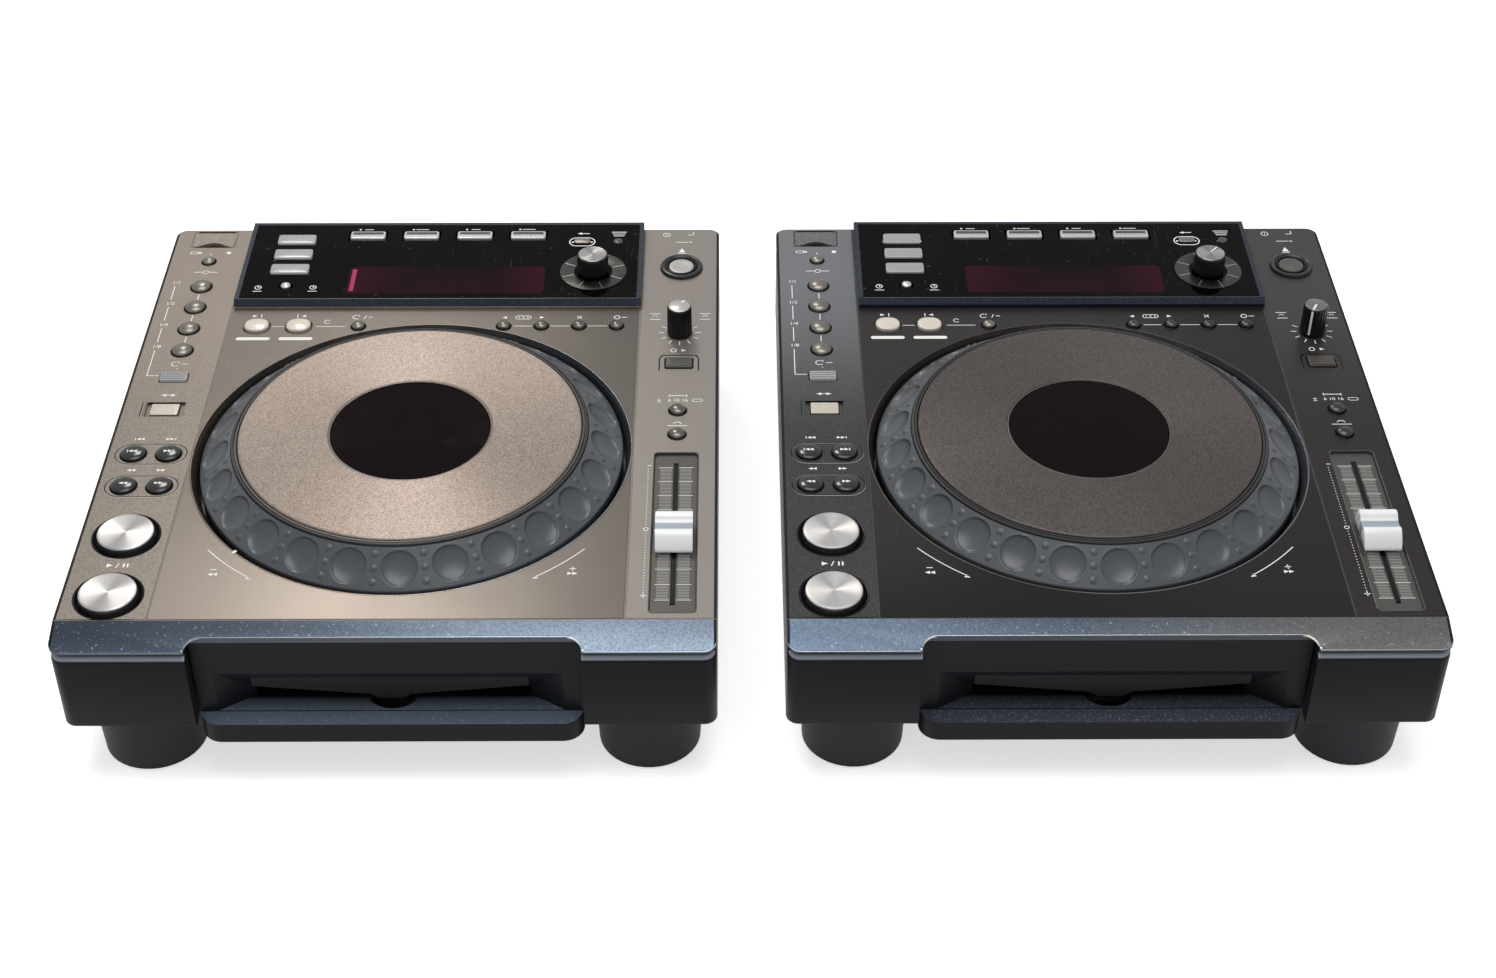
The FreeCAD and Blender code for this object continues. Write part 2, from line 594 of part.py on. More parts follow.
def round_key(name, centre, radius, rise, layer="deck"):
    """A round key: domed cap, flange under the panel and a stem to its switch."""
    panel_top, flange_top = ("deck_top", FLANGE_TOP)
    if layer == "glass":
        panel_top, flange_top = (GLASS_TOP, f"{GLASS_LOW} - key_play")
    top = f"{panel_top} + {rise}"
    dome = f"({radius}) * 0.18"
    section = [
        ("0", STEM_LOW),
        (f"({radius}) * 0.5", STEM_LOW),
        (f"({radius}) * 0.5", f"{flange_top} - flange_wall"),
        (f"({radius}) + flange_extra", f"{flange_top} - flange_wall"),
        (f"({radius}) + flange_extra", flange_top),
        (radius, flange_top),
        (radius, f"{top} - ({dome}) * 1.6"),
        (f"({radius}) * 0.86", f"{top} - ({dome}) * 0.7"),
        (f"({radius}) * 0.5", f"{top} - ({dome}) * 0.15"),
        ("0", top),
    ]
    holes[layer].append(
        rod(name + "_hole", centre, f"({radius}) + key_clearance", flange_top, f"{panel_top} + 3")
    )
    switch_spots.append(centre)
    return turned(name, section, *centre)


def square_key(name, centre, length, width, rise, layer="deck"):
    """A straight-sided key with the same flange and stem."""
    panel_top, flange_top = ("deck_top", FLANGE_TOP)
    if layer == "glass":
        panel_top, flange_top = (GLASS_TOP, f"{GLASS_LOW} - key_play")
    gap = "2 * key_clearance"
    tool = centred_box(name + "_hole", centre, f"{length} + {gap}", f"{width} + {gap}",
                       flange_top, f"{panel_top} + 3")
    holes[layer].append(tool)
    switch_spots.append(centre)
    cap = centred_box(name + "_cap", centre, length, width, flange_top, f"{panel_top} + {rise}")
    reach = "2 * flange_extra"
    flange = centred_box(name + "_flange", centre, f"{length} + {reach}", f"{width} + {reach}",
                         f"{flange_top} - flange_wall", flange_top)
    stem = centred_box(name + "_stem", centre, "stem_width", "stem_width", STEM_LOW,
                       f"{flange_top} - flange_wall")
    return fuse(name, [cap, flange, stem])


def carrier(name, start, end, width, flange_top=FLANGE_TOP):
    """The flat strip that joins the keys of one moulding, along X or along Y."""
    low = (f"min({start[0]}; {end[0]}) - {width} / 2", f"min({start[1]}; {end[1]}) - {width} / 2",
           f"{flange_top} - flange_wall")
    high = (f"max({start[0]}; {end[0]}) + {width} / 2", f"max({start[1]}; {end[1]}) + {width} / 2",
            flange_top)
    return box(name, low, high)


def trough(name, centre, length, width, margin):
    """A shallow trough in the deck round a key."""
    spread = f"2 * {margin}"
    holes["deck"].append(
        centred_box(name, centre, f"{length} + {spread}", f"{width} + {spread}",
                    "deck_top - trough_depth", "deck_top + 1")
    )


def big_button(name, place):
    """Play or cue: a turned aluminium disc in a dark ring."""
    centre = (LEFT_X, from_front(place))
    holes["deck"].append(
        rod(name + "_ring", centre, "big_ring_radius", "deck_top - big_ring_depth", "deck_top + 1")
    )
    key = round_key(name + "_key", centre, "big_button_radius", "big_button_rise - 1")
    face = rod(name + "_face", centre, "big_button_radius", "deck_top", "deck_top + big_button_rise")
    return fuse(name, [key, face])


def key_pair(name, place):
    """Two search keys on one rocking strip."""
    keys = []
    ends = []
    for side, sign in (("back", "-"), ("on", "+")):
        centre = (f"{LEFT_X} {sign} pair_spread / 2", from_front(place))
        ends.append(centre)
        keys.append(round_key(f"{name}_{side}", centre, "pair_radius", "key_rise"))
    return fuse(name, keys + [carrier(name + "_strip", *ends, "strip_width")])


def automatic_loop_keys():
    """Stop key, four loop keys and the select key on one strip."""
    keys = []
    for index in range(4):
        centre = (LEFT_X, from_front(f"loop_key_first + {index} * loop_key_pitch"))
        keys.append(round_key(f"loop_key_{index}", centre, "loop_key_radius", "key_rise"))
    stop = (LEFT_X, from_front("usb_stop_from_front"))
    choose = (LEFT_X, from_front("select_from_front"))
    keys.append(round_key("stop_key", stop, "small_key_radius", "key_rise"))
    keys.append(square_key("select_key", choose, "select_length", "select_width", "key_rise / 2"))
    return fuse("auto_loop_keys_one", keys + [carrier("auto_loop_strip", choose, stop, "strip_width")])


def clear_of_well(name, item):
    """Trims what goes under the deck back from the wall of the jog wheel's well."""
    return cut(name, item, [rod(name + "_well", JOG, "well_radius + well_wall + key_clearance",
                                "well_floor", f"{SKIN_LOW} + key_travel + key_clearance")])


def loop_keys():
    """Loop in, loop out and reloop keys."""
    row = from_front("loop_row_from_front")
    first = square_key("loop_in", ("loop_in_x", row), "loop_in_length", "loop_in_width", "key_rise")
    second = square_key("loop_out", ("loop_out_x", row), "loop_in_length", "loop_in_width", "key_rise")
    third = round_key("reloop", ("reloop_x", row), "small_key_radius", "key_rise")
    strip = carrier("loop_strip", ("loop_in_x", row), ("reloop_x", row), "strip_width")
    return clear_of_well("loop_keys_one", fuse("loop_keys_solid", [first, second, third, strip]))


def call_keys():
    row = from_front("loop_row_from_front")
    spots = [(f"call_first_x + {index} * call_pitch", row) for index in range(4)]
    keys = [round_key(f"call_key_{i}", spot, "small_key_radius", "key_rise") for i, spot in enumerate(spots)]
    strip = carrier("call_strip", spots[0], spots[-1], "strip_width")
    return clear_of_well("call_keys_one", fuse("call_keys_solid", keys + [strip]))


def tempo_keys():
    spots = [(RIGHT_X, from_front(place)) for place in ("tempo_range_from_front", "master_from_front")]
    keys = [round_key(f"tempo_key_{i}", spot, "tempo_key_radius", "key_rise") for i, spot in enumerate(spots)]
    return fuse("tempo_keys_one", keys + [carrier("tempo_strip", *spots, "strip_width")])


def source_keys():
    """Three source keys and the time mode key at the left of the display."""
    strip_top = f"{GLASS_LOW} - key_play"
    spots = [("source_x", from_front(f"source_first + {i} * source_pitch")) for i in range(3)]
    keys = [
        square_key(f"source_key_{i}", spot, "source_length", "source_width", "source_rise", "glass")
        for i, spot in enumerate(spots)
    ]
    time_mode = ("source_x", from_front("time_mode_from_front"))
    keys.append(round_key("time_mode_key", time_mode, "small_key_radius", "key_rise / 2", "glass"))
    keys.append(carrier("source_strip", time_mode, spots[-1], "strip_width", strip_top))
    return fuse("source_keys_one", keys)


def menu_keys():
    """Four menu keys and the back and tag keys along the rear of the display."""
    strip_top = f"{GLASS_LOW} - key_play"
    spots = [(f"menu_first_x + {i} * menu_pitch", from_front("menu_from_front")) for i in range(4)]
    keys = [
        square_key(f"menu_key_{i}", spot, "source_length", "source_width", "source_rise", "glass")
        for i, spot in enumerate(spots)
    ]
    back = ("back_x", from_front("back_from_front"))
    tag = ("tag_x", from_front("back_from_front"))
    keys.append(square_key("back_key", back, "back_length", "back_width", "back_rise", "glass"))
    keys.append(round_key("tag_key", tag, "tag_radius", "back_rise", "glass"))
    row = from_front("(menu_from_front + back_from_front) / 2")
    keys.append(carrier("menu_strip", ("menu_first_x", row), ("tag_x", row), "menu_strip_width", strip_top))
    return fuse("menu_keys_one", keys)


def single_keys():
    """Keys that move by themselves, each in its own trough or ring."""
    direction = (LEFT_X, from_front("direction_from_front"))
    trough("direction_trough", direction, "direction_length", "direction_width", "direction_margin")
    place_pair("direction_key", square_key("direction_one", direction, "direction_length",
                                           "direction_width", "direction_rise"))
    mode = (RIGHT_X, from_front("jog_mode_from_front"))
    trough("jog_mode_trough", mode, "jog_mode_length", "jog_mode_width", "direction_margin")
    place_pair("jog_mode_key", square_key("jog_mode_one", mode, "jog_mode_length",
                                          "jog_mode_width", "key_rise / 2"))
    eject = (RIGHT_X, from_front("eject_from_front"))
    place_pair("eject_key", round_key("eject_one", eject, "eject_radius", "key_rise / 2"))


# ---------------------------------------------------------------- knobs and fader
def knob(name, centre, radius, panel_top, height):
    """A knob with its shaft and the flange that keeps it in its bush."""
    top = f"{panel_top} + {height}"
    foot = f"{panel_top} + knob_lift"
    section = [
        ("0", "key_board_top + pot_height + key_clearance"),
        ("shaft_radius", "key_board_top + pot_height + key_clearance"),
        ("shaft_radius", foot),
        (radius, foot),
        (f"({radius}) * 0.96", f"{top} - 0.8"),
        (f"({radius}) * 0.88", top),
        ("0", top),
    ]
    return turned(name, section, *centre)


def browse_knob():
    centre = ("browse_x", from_front("browse_from_front"))
    bore = "shaft_radius + running_clearance"
    holes["glass"].append(rod("browse_hole", centre, bore, f"{GLASS_LOW} - 1", f"{GLASS_TOP} + 1"))
    return knob("browse_knob_one", centre, "browse_radius", GLASS_TOP, "browse_height - display_rise")


def vinyl_speed_knob():
    centre = (RIGHT_X, from_front("vinyl_from_front"))
    bore = "shaft_radius + running_clearance"
    holes["deck"].append(rod("vinyl_hole", centre, bore, f"{SKIN_LOW} - 1", "deck_top + 1"))
    return knob("vinyl_speed_knob_one", centre, "vinyl_radius", "deck_top", "vinyl_height")


FADER_MIDDLE = from_front("fader_from_front")
FADER_PLATE_TOP = "deck_top - fader_plate_drop"
FADER_PLATE_LOW = f"{FADER_PLATE_TOP} - fader_plate_wall"
FADER_SLOT = "fader_stroke + fader_stem_length + 2 * fader_slot_clearance"


def tempo_fader():
    """The fader cap with its finger scoop, on a thin stem."""
    low = "deck_top + cap_lift"
    half = "cap_length / 2"
    body = doc.addObject("PartDesign::Body", "fader_cap")
    outline = [
        (f"-{half}", low),
        (f"{half}", low),
        (f"{half}", f"{low} + cap_height * 0.80"),
        (f"{half} - cap_chamfer", f"{low} + cap_height * 0.92"),
        ("cap_length * 0.14", f"{low} + cap_height"),
        ("cap_length * 0.02", f"{low} + cap_height * 0.86"),
        ("-cap_length * 0.16", f"{low} + cap_height * 0.74"),
        (f"-{half} + cap_chamfer", f"{low} + cap_height * 0.78"),
        (f"-{half}", f"{low} + cap_height * 0.62"),
    ]
    pad(body, "fader_cap_pad", "YZ_Plane", outline, "cap_width", midplane=True)
    rest = f"{FADER_MIDDLE} + fader_rest"
    bind(body, x=RIGHT_X, y=rest)
    stem = centred_box("fader_stem", (RIGHT_X, rest), "fader_stem_width", "fader_stem_length",
                       f"{FADER_PLATE_LOW} - fader_body_height / 2", low)
    return fuse("tempo_fader_one", [body, stem])


def fader_unit():
    """Slotted plate and the long body under it that holds the track."""
    centre = (RIGHT_X, FADER_MIDDLE)
    holes["deck"].append(
        centred_box("fader_trough", centre, "trough_width", "trough_length",
                    f"{SKIN_LOW} - 1", "deck_top + 1")
    )
    inside = ("trough_width - 2 * fader_plate_gap", "trough_length - 2 * fader_plate_gap")
    plate = centred_box("fader_plate", centre, *inside, FADER_PLATE_LOW, FADER_PLATE_TOP)
    body_low = f"{FADER_PLATE_LOW} - fader_body_height"
    ledge_low = f"{SKIN_LOW} - fader_plate_wall"
    body = centred_box("fader_body", centre, "fader_body_width",
                       f"{FADER_SLOT} + 2 * fader_body_margin", body_low, FADER_PLATE_LOW)
    ledge = centred_box("fader_ledge_block", centre, "trough_width + 2 * fader_ledge",
                        "trough_length + 2 * fader_ledge", ledge_low, SKIN_LOW)
    neck = centred_box("fader_neck", centre, *inside, ledge_low, FADER_PLATE_LOW)
    slot = centred_box("fader_slot", centre, "fader_stem_width + 2 * fader_slot_clearance", FADER_SLOT,
                       f"{body_low} + fader_floor", "deck_top")
    return cut("fader_unit_one", fuse("fader_solid", [plate, body, ledge, neck]), [slot])


# ---------------------------------------------------------------- jog wheel
def jog_ring():
    """The dimpled ring with its web and bearing sleeve."""
    bore = "hub_radius + running_clearance"
    seat = "plate_top - plate_wall"
    pocket = "plate_radius + plate_clearance"
    inner = "ring_radius - ring_wall"
    well = "window_radius + window_pocket"
    ring = turned("jog_ring_one", [
        (bore, "sleeve_low"),
        (f"{bore} + sleeve_wall", "sleeve_low"),
        (f"{bore} + sleeve_wall", "web_low"),
        (f"{well} + ring_wall", "web_low"),
        (f"{well} + ring_wall", f"{seat} - seat_wall"),
        (f"{pocket}", f"{seat} - seat_wall"),
        (inner, "ring_edge_top - ring_lip"),
        (inner, "ring_edge_low"),
        ("ring_radius", "ring_edge_low"),
        ("ring_radius", "ring_edge_top"),
        ("rim_radius", "rim_slope_top"),
        ("rim_radius", "rim_top"),
        (pocket, "rim_top"),
        (pocket, seat),
        (well, seat),
        (well, "web_top"),
        (bore, "web_top"),
    ], *JOG)
    add_dimples(ring)
    return ring


def add_dimples(ring):
    """Shallow round dimples sunk square to the ring's slope."""
    run = "(ring_radius - rim_radius)"
    rise = "(rim_slope_top - ring_edge_top)"
    slope = f"sqrt({run} * {run} + {rise} * {rise})"
    ball = "((dimple_radius * dimple_radius + dimple_depth * dimple_depth) / (2 * dimple_depth))"
    reach = f"({ball} - dimple_depth)"
    away = f"((ring_radius + rim_radius) / 2 + {reach} * {rise} / {slope})"
    tool = ring.newObject("PartDesign::SubtractiveSphere", "dimple")
    bind(tool, Radius=ball, x=f"{away} * cos(dimple_phase)", y=f"{away} * sin(dimple_phase)",
         z=f"(ring_edge_top + rim_slope_top) / 2 + {reach} * {run} / {slope}")
    pattern = ring.newObject("PartDesign::PolarPattern", "dimples")
    pattern.Originals = [tool]
    axis = [item for item in ring.Origin.OriginFeatures if item.Role == "Z_Axis"][0]
    pattern.Axis = (axis, [""])
    pattern.Angle = 360
    bind(pattern, Occurrences="dimple_count")
    ring.Tip = pattern


def jog_plate():
    inner = "window_radius + window_gap"
    low = "plate_top - plate_wall"
    return turned("jog_plate_one", [
        (inner, low),
        ("plate_radius", low),
        ("plate_radius", "plate_top - plate_edge"),
        ("plate_radius - plate_edge", "plate_top"),
        (inner, "plate_top"),
    ], *JOG)


def jog_hub():
    """Fixed post on the well's floor, with the cup that carries the round window."""
    floor = "well_floor + well_wall"
    cup_low = "web_top + hub_lift"
    cup_top = "plate_top - window_wall - window_drop"
    return turned("jog_hub_one", [
        ("hub_bore_radius", floor),
        ("hub_radius + hub_base_reach", floor),
        ("hub_radius + hub_base_reach", "sleeve_low - plate_clearance"),
        ("hub_radius", "sleeve_low - plate_clearance"),
        ("hub_radius", cup_low),
        ("window_radius", cup_low),
        ("window_radius", cup_top),
        ("hub_bore_radius", cup_top),
    ], *JOG)


def jog_window():
    low = "plate_top - window_wall - window_drop"
    return rod("jog_window_one", JOG, "window_radius", low, f"{low} + window_wall")


# ---------------------------------------------------------------- deck panel
def deck_panel():
    """The control deck: sloping front strip, rim, jog well, posts and every opening."""
    body = doc.addObject("PartDesign::Body", "deck_blank")
    pad(body, "deck_pad", "YZ_Plane", [
        (FRONT, "rim_low"),
        (BACK, "rim_low"),
        (BACK, "deck_top"),
        (from_front("strip_depth"), "deck_top"),
        (FRONT, "deck_top - strip_drop"),
    ], "player_width", midplane=True)
    blank = rounded("deck_rounded", body, size("corner_radius"), is_upright)
    hollow = box("deck_hollow", (f"-{WIDTH} + rim_wall", from_front("strip_solid"), "rim_low - 1"),
                 (f"{WIDTH} - rim_wall", from_back("rim_wall"), SKIN_LOW))
    notch = box("deck_notch", ("-recess_half_width", f"{FRONT} - 1", "rim_low - 1"),
                ("recess_half_width", from_front("recess_depth"), "deck_top + 1"))
    well = rod("well_bore", JOG, "well_radius", "well_floor - 1", "deck_top + 1")
    shell = cut("deck_shell", blank, [hollow, notch, well])
    cup = turned("well_cup", [
        ("hub_bore_radius", "well_floor"),
        ("well_radius + well_wall", "well_floor"),
        ("well_radius + well_wall", SKIN_LOW),
        ("well_radius", SKIN_LOW),
        ("well_radius", "well_floor + well_wall"),
        ("hub_bore_radius", "well_floor + well_wall"),
    ], *JOG)
    posts = [
        rod(f"post_{i}", spot, "post_radius", FLOOR_TOP, SKIN_LOW) for i, spot in enumerate(POST_SPOTS)
    ]
    bosses = [
        rod(f"board_boss_{i}", spot, "boss_radius", "key_board_top", SKIN_LOW)
        for i, spot in enumerate(BOSS_SPOTS)
    ]
    ring = rod("eject_ring", (RIGHT_X, from_front("eject_from_front")), "eject_ring_radius",
               SKIN_LOW, "deck_top + eject_ring_rise")
    edge = "display_opening_edge"
    opening = box("display_opening", (f"display_left_x + {edge}",
                                      from_front(f"display_from_front + {edge}"), f"{SKIN_LOW} - 1"),
                  (f"display_right_x - {edge}", from_back(edge), "deck_top + 1"))
    solid = fuse("deck_solid", [shell, cup, ring] + posts + bosses)
    pilots = [
        rod(f"pilot_{i}", spot, "screw_radius", f"{FLOOR_TOP} - 1", f"{FLOOR_TOP} + screw_bite + 1")
        for i, spot in enumerate(POST_SPOTS)
    ]
    return cut("deck_panel_one", solid, holes["deck"] + [opening] + pilots)


def between(first, second, part="1 / 2"):
    """A place between two named distances from the front face."""
    return from_front(f"{first} + ({second} - {first}) * {part}")


BOSS_X = "(player_width / 2 - boss_from_side)"
LAST_LOOP_KEY = "(loop_key_first + 3 * loop_key_pitch)"
LEFT_KEY_ROWS = [
    ("play_from_front", "cue_from_front"),
    ("cue_from_front", "search_from_front"),
    ("search_from_front", "track_search_from_front"),
    ("direction_from_front", "select_from_front"),
    ("select_from_front", "loop_key_first"),
    (LAST_LOOP_KEY, "usb_stop_from_front"),
]
BOSS_SPOTS = [(f"-{BOSS_X}", between(*rows)) for rows in LEFT_KEY_ROWS]
BOSS_SPOTS += [
    (BOSS_X, between("tempo_range_from_front", "jog_mode_from_front")),
    (BOSS_X, between("jog_mode_from_front", "vinyl_from_front")),
    (BOSS_X, between("vinyl_from_front", "eject_from_front", "1 / 3")),
    (BOSS_X, between("vinyl_from_front", "eject_from_front", "2 / 3")),
]
BOSS_SPOTS += [
    (x, y)
    for x in ("display_left_x + display_boss_inset", "display_right_x - display_boss_inset")
    for y in (from_front("display_from_front + display_boss_front"), from_back("display_boss_back"))
]
BOSS_SPOTS += [
    (x, from_front("loop_row_from_front + row_boss_offset"))
    for x in ("(loop_in_x + loop_out_x) / 2", "(loop_out_x + reloop_x) / 2",
              "call_first_x + call_pitch / 2", "call_first_x + 2.5 * call_pitch")
]


# ---------------------------------------------------------------- lower case
def lower_case():
    """The black tray: blocks either side of the front recess, sump, rear wall."""
    outer = box("case_outer", (f"-{WIDTH}", FRONT, "foot_height"), (WIDTH, BACK, "case_top"))
    outer = rounded("case_rounded", outer, size("corner_radius"), is_upright)
    inset = "tongue_inset"
    tongue = box("case_tongue", (f"-{WIDTH} + {inset}", from_front("strip_solid + tongue_setback"),
                                 "foot_height"),
                 (f"{WIDTH} - {inset}", from_back(inset), SKIN_LOW))
    sump = box("case_sump", ("-sump_half_width", from_front("lip_depth"), "sump_low"),
               ("sump_half_width", from_front("lip_depth + sump_depth"), FLOOR_TOP))
    wall = "case_wall"
    solid = fuse("case_solid", [outer, tongue, sump])
    rib = f"{inset} + tongue_wall"
    hollow = box("case_hollow", (f"-{WIDTH} + {wall}", from_front(wall), FLOOR_TOP),
                 (f"{WIDTH} - {wall}", from_back(wall), "case_top - case_land"))
    upper = box("case_upper", (f"-{WIDTH} + {rib}", from_front("strip_solid + tongue_setback + tongue_wall"),
                               "case_top - case_land - 1"),
                (f"{WIDTH} - {rib}", from_back(rib), "deck_top"))
    front_upper = box("case_front_upper", (f"-{WIDTH} + {wall}", from_front(wall),
                                           "case_top - case_land - 1"),
                      (f"{WIDTH} - {wall}", from_front("strip_solid + tongue_setback"), "deck_top"))
    sump_hollow = box("sump_hollow", (f"-sump_half_width + {wall}", from_front(f"lip_depth + {wall}"),
                                      f"sump_low + {wall}"),
                      (f"sump_half_width - {wall}", from_front(f"lip_depth + sump_depth - {wall}"),
                       f"{FLOOR_TOP} + 1"))
    mouth = box("case_mouth", ("-recess_half_width", f"{FRONT} - 1", "sump_low - 1"),
                ("recess_half_width", from_front("lip_depth"), "deck_top"))
    passage = box("case_passage", ("-recess_half_width", from_front("lip_depth - 1"), "sump_low + case_wall"),
                  ("recess_half_width", from_front("pan_from_front"), "deck_top"))
    cheeks = [
        box(f"cheek_{name}", (low, FRONT, "foot_height"), (high, from_front("pan_from_front"), "case_top"))
        for name, low, high in (
            ("left", f"-recess_half_width - {wall}", "-recess_half_width"),
            ("right", "recess_half_width", f"recess_half_width + {wall}"),
        )
    ]
    shell = cut("case_shell", solid, [hollow, upper, front_upper, sump_hollow])
    walled = fuse("case_walled", [shell] + cheeks)
    tools = [mouth, passage] + rear_openings()
    for i, spot in enumerate(FOOT_SPOTS + POST_SPOTS):
        tools.append(rod(f"case_screw_hole_{i}", spot, "screw_radius + screw_clearance",
                         "foot_height - 1", f"{FLOOR_TOP} + 1"))
    return cut("lower_case_one", walled, tools)


def rear_openings():
    """Holes in the rear wall for the mains inlet and the row of signal sockets."""
    inlet = box("inlet_hole", ("inlet_x - inlet_length / 2 - inlet_wall", from_back("case_wall + 5"),
                               "socket_height - inlet_height / 2 - inlet_wall"),
                ("inlet_x + inlet_length / 2 + inlet_wall", from_back("-1"),
                 "socket_height + inlet_height / 2 + inlet_wall"))
    margin = "(phono_radius + jack_window_margin)"
    window = box("jack_window", (f"phono_first_x - {margin}", from_back("case_wall + 1"),
                                 "socket_height - jack_window_height / 2"),
                 (f"{PHONO_SPOTS[-1]} + {margin}", from_back("-1"),
                  "socket_height + jack_window_height / 2"))
    return [inlet, window]


PHONO_SPOTS = [f"phono_first_x + {index} * phono_pitch" for index in range(4)]


def rear_jacks():
    """Mains inlet and four signal sockets, flush with the rear wall."""
    shell = box("inlet_shell", ("inlet_x - inlet_length / 2 - inlet_wall",
                                from_back("inlet_depth + inlet_wall"),
                                "socket_height - inlet_height / 2 - inlet_wall"),
                ("inlet_x + inlet_length / 2 + inlet_wall", BACK,
                 "socket_height + inlet_height / 2 + inlet_wall"))
    cavity = box("inlet_cavity", ("inlet_x - inlet_length / 2", from_back("inlet_depth"),
                                  "socket_height - inlet_height / 2"),
                 ("inlet_x + inlet_length / 2", from_back("-1"), "socket_height + inlet_height / 2"))
    pieces = [cut("mains_inlet", shell, [cavity])]
    for i, spot in enumerate(PHONO_SPOTS):
        sleeve = lying_rod(f"phono_sleeve_{i}", (spot, from_back("phono_length"), "socket_height"),
                           "phono_radius", "phono_length", "Y")
        half_width = "(phono_pitch - jack_gap) / 2"
        half_height = "(jack_window_height / 2 + jack_overlap)"
        flange = box(f"phono_flange_{i}", (f"{spot} - {half_width}", from_back("case_wall + jack_wall"),
                                           f"socket_height - {half_height}"),
                     (f"{spot} + {half_width}", from_back("case_wall"), f"socket_height + {half_height}"))
        bore = lying_rod(f"phono_bore_{i}", (spot, from_back("phono_length - phono_end"), "socket_height"),
                         "phono_bore_radius", "phono_length", "Y")
        pieces.append(cut(f"phono_{i}", fuse(f"phono_body_{i}", [sleeve, flange]), [bore]))
    return group("rear_jacks_one", pieces)


# ---------------------------------------------------------------- slot bezel
def slot_bezel():
    """Front moulding: back wall of the recess, funnel, slot, dust guard and shelf."""
    half = "recess_half_width - bezel_gap"
    wall = box("bezel_wall_block", (f"-({half})", from_front("recess_depth"), "lip_rear_top - 2"),
               (half, from_front("recess_depth + bezel_wall"), "rim_low - 0.1"))
    throat = box("bezel_throat", (f"-{FUNNEL} - bezel_wall", from_front("recess_depth"),
                                  "lip_rear_top - 2"),
                 (f"{FUNNEL} + bezel_wall", from_front("slot_from_front + slot_length"),
                  "funnel_top + bezel_wall"))
    shelf_body = doc.addObject("PartDesign::Body", "shelf")
    pad(shelf_body, "shelf_pad", "YZ_Plane", [
        (FRONT, "sump_low"),
        (from_front("lip_depth"), "sump_low"),
        (from_front("lip_depth"), "lip_rear_top"),
        (FRONT, "lip_front_top"),
    ], f"2 * ({half})", midplane=True)
    front_limit = size(from_front("1"))
    shelf = rounded("shelf_rounded", shelf_body, size("lip_corner"),
                    lambda edge: is_upright(edge) and edge.CenterOfMass.y < front_limit)
    solid = fuse("bezel_solid", [wall, throat, shelf])
    funnel = doc.addObject("PartDesign::Body", "funnel")
    mouth = sketch_on(funnel, "funnel_mouth", "XZ_Plane", "case_depth / 2 - recess_depth + 0.01")
    polygon(mouth, [(f"-{FUNNEL}", "lip_rear_top"), (FUNNEL, "lip_rear_top"),
                    (FUNNEL, "funnel_top"), (f"-{FUNNEL}", "funnel_top")])
    narrow = sketch_on(funnel, "funnel_end", "XZ_Plane", "case_depth / 2 - slot_from_front")
    polygon(narrow, [("-slot_half_width", "slot_low"), ("slot_half_width", "slot_low"),
                     ("slot_half_width", "slot_high"), ("-slot_half_width", "slot_high")])
    loft = funnel.newObject("PartDesign::AdditiveLoft", "funnel_loft")
    loft.Profile = mouth
    loft.Sections = [narrow]
    loft.Ruled = True
    slot = box("slot_cut", ("-slot_half_width", from_front("slot_from_front - 0.01"), "slot_low"),
               ("slot_half_width", from_front("slot_from_front + slot_length + 1"), "slot_high"))
    radius = "(notch_half_width * notch_half_width + notch_depth * notch_depth) / (2 * notch_depth)"
    notch = rod("finger_notch", ("0", from_front(f"lip_depth - notch_depth + {radius}")), radius,
                "notch_low", "lip_rear_top + 3")
    keep = box("notch_limit", ("-notch_half_width - 1", from_front("0.5"), "notch_low - 1"),
               ("notch_half_width + 1", from_front("slot_from_front + slot_length + 1"), "slot_high"))
    notch_tool = doc.addObject("Part::Common", "notch_tool")
    notch_tool.Base = notch
    notch_tool.Tool = keep
    hollowed = cut("bezel_hollowed", solid, [funnel, slot, notch_tool])
    return fuse("slot_bezel_one", [hollowed, dust_guard()])


def dust_guard():
    """Thin guard that hangs in the funnel, with a shallow V and a middle tab."""
    body = doc.addObject("PartDesign::Body", "dust_guard")
    tab = "guard_tab_half_width"
    top = "funnel_top - 2.5"
    offset = "case_depth / 2 - guard_from_front - guard_wall"
    pad(body, "dust_guard_pad", "XZ_Plane", [
        ("-slot_half_width", top),
        ("-slot_half_width", "guard_end_low"),
        (f"-{tab} - 4", "guard_low"),
        (f"-{tab}", "guard_tab_low"),
        (tab, "guard_tab_low"),
        (f"{tab} + 4", "guard_low"),
        ("slot_half_width", "guard_end_low"),
        ("slot_half_width", top),
    ], "guard_wall", offset=offset)
    return body


# ---------------------------------------------------------------- display
def display_housing():
    """Raised frame of the display, with a sloping front bevel and a ledge for the window."""
    body = doc.addObject("PartDesign::Body", "display_frame")
    rear = from_back("display_setback")
    front = from_front("display_from_front")
    pad(body, "display_pad", "YZ_Plane", [
        (front, "deck_top"),
        (rear, "deck_top"),
        (rear, GLASS_TOP),
        (f"{front} + bevel_depth", GLASS_TOP),
        (front, f"{GLASS_TOP} - bevel_drop"),
    ], "display_right_x - display_left_x", midplane=True)
    bind(body, x="(display_right_x + display_left_x) / 2")
    wall = "display_wall"
    seat = box("glass_seat", (f"display_left_x + {wall}", f"{front} + {wall}", GLASS_LOW),
               (f"display_right_x - {wall}", f"{rear} - {wall}", f"{GLASS_TOP} + 1"))
    ledge = f"({wall} + glass_ledge)"
    inner = box("display_inner", (f"display_left_x + {ledge}", f"{front} + {ledge}", "deck_top - 1"),
                (f"display_right_x - {ledge}", f"{rear} - {ledge}", f"{GLASS_TOP} + 1"))
    return cut("display_housing_one", body, [seat, inner])


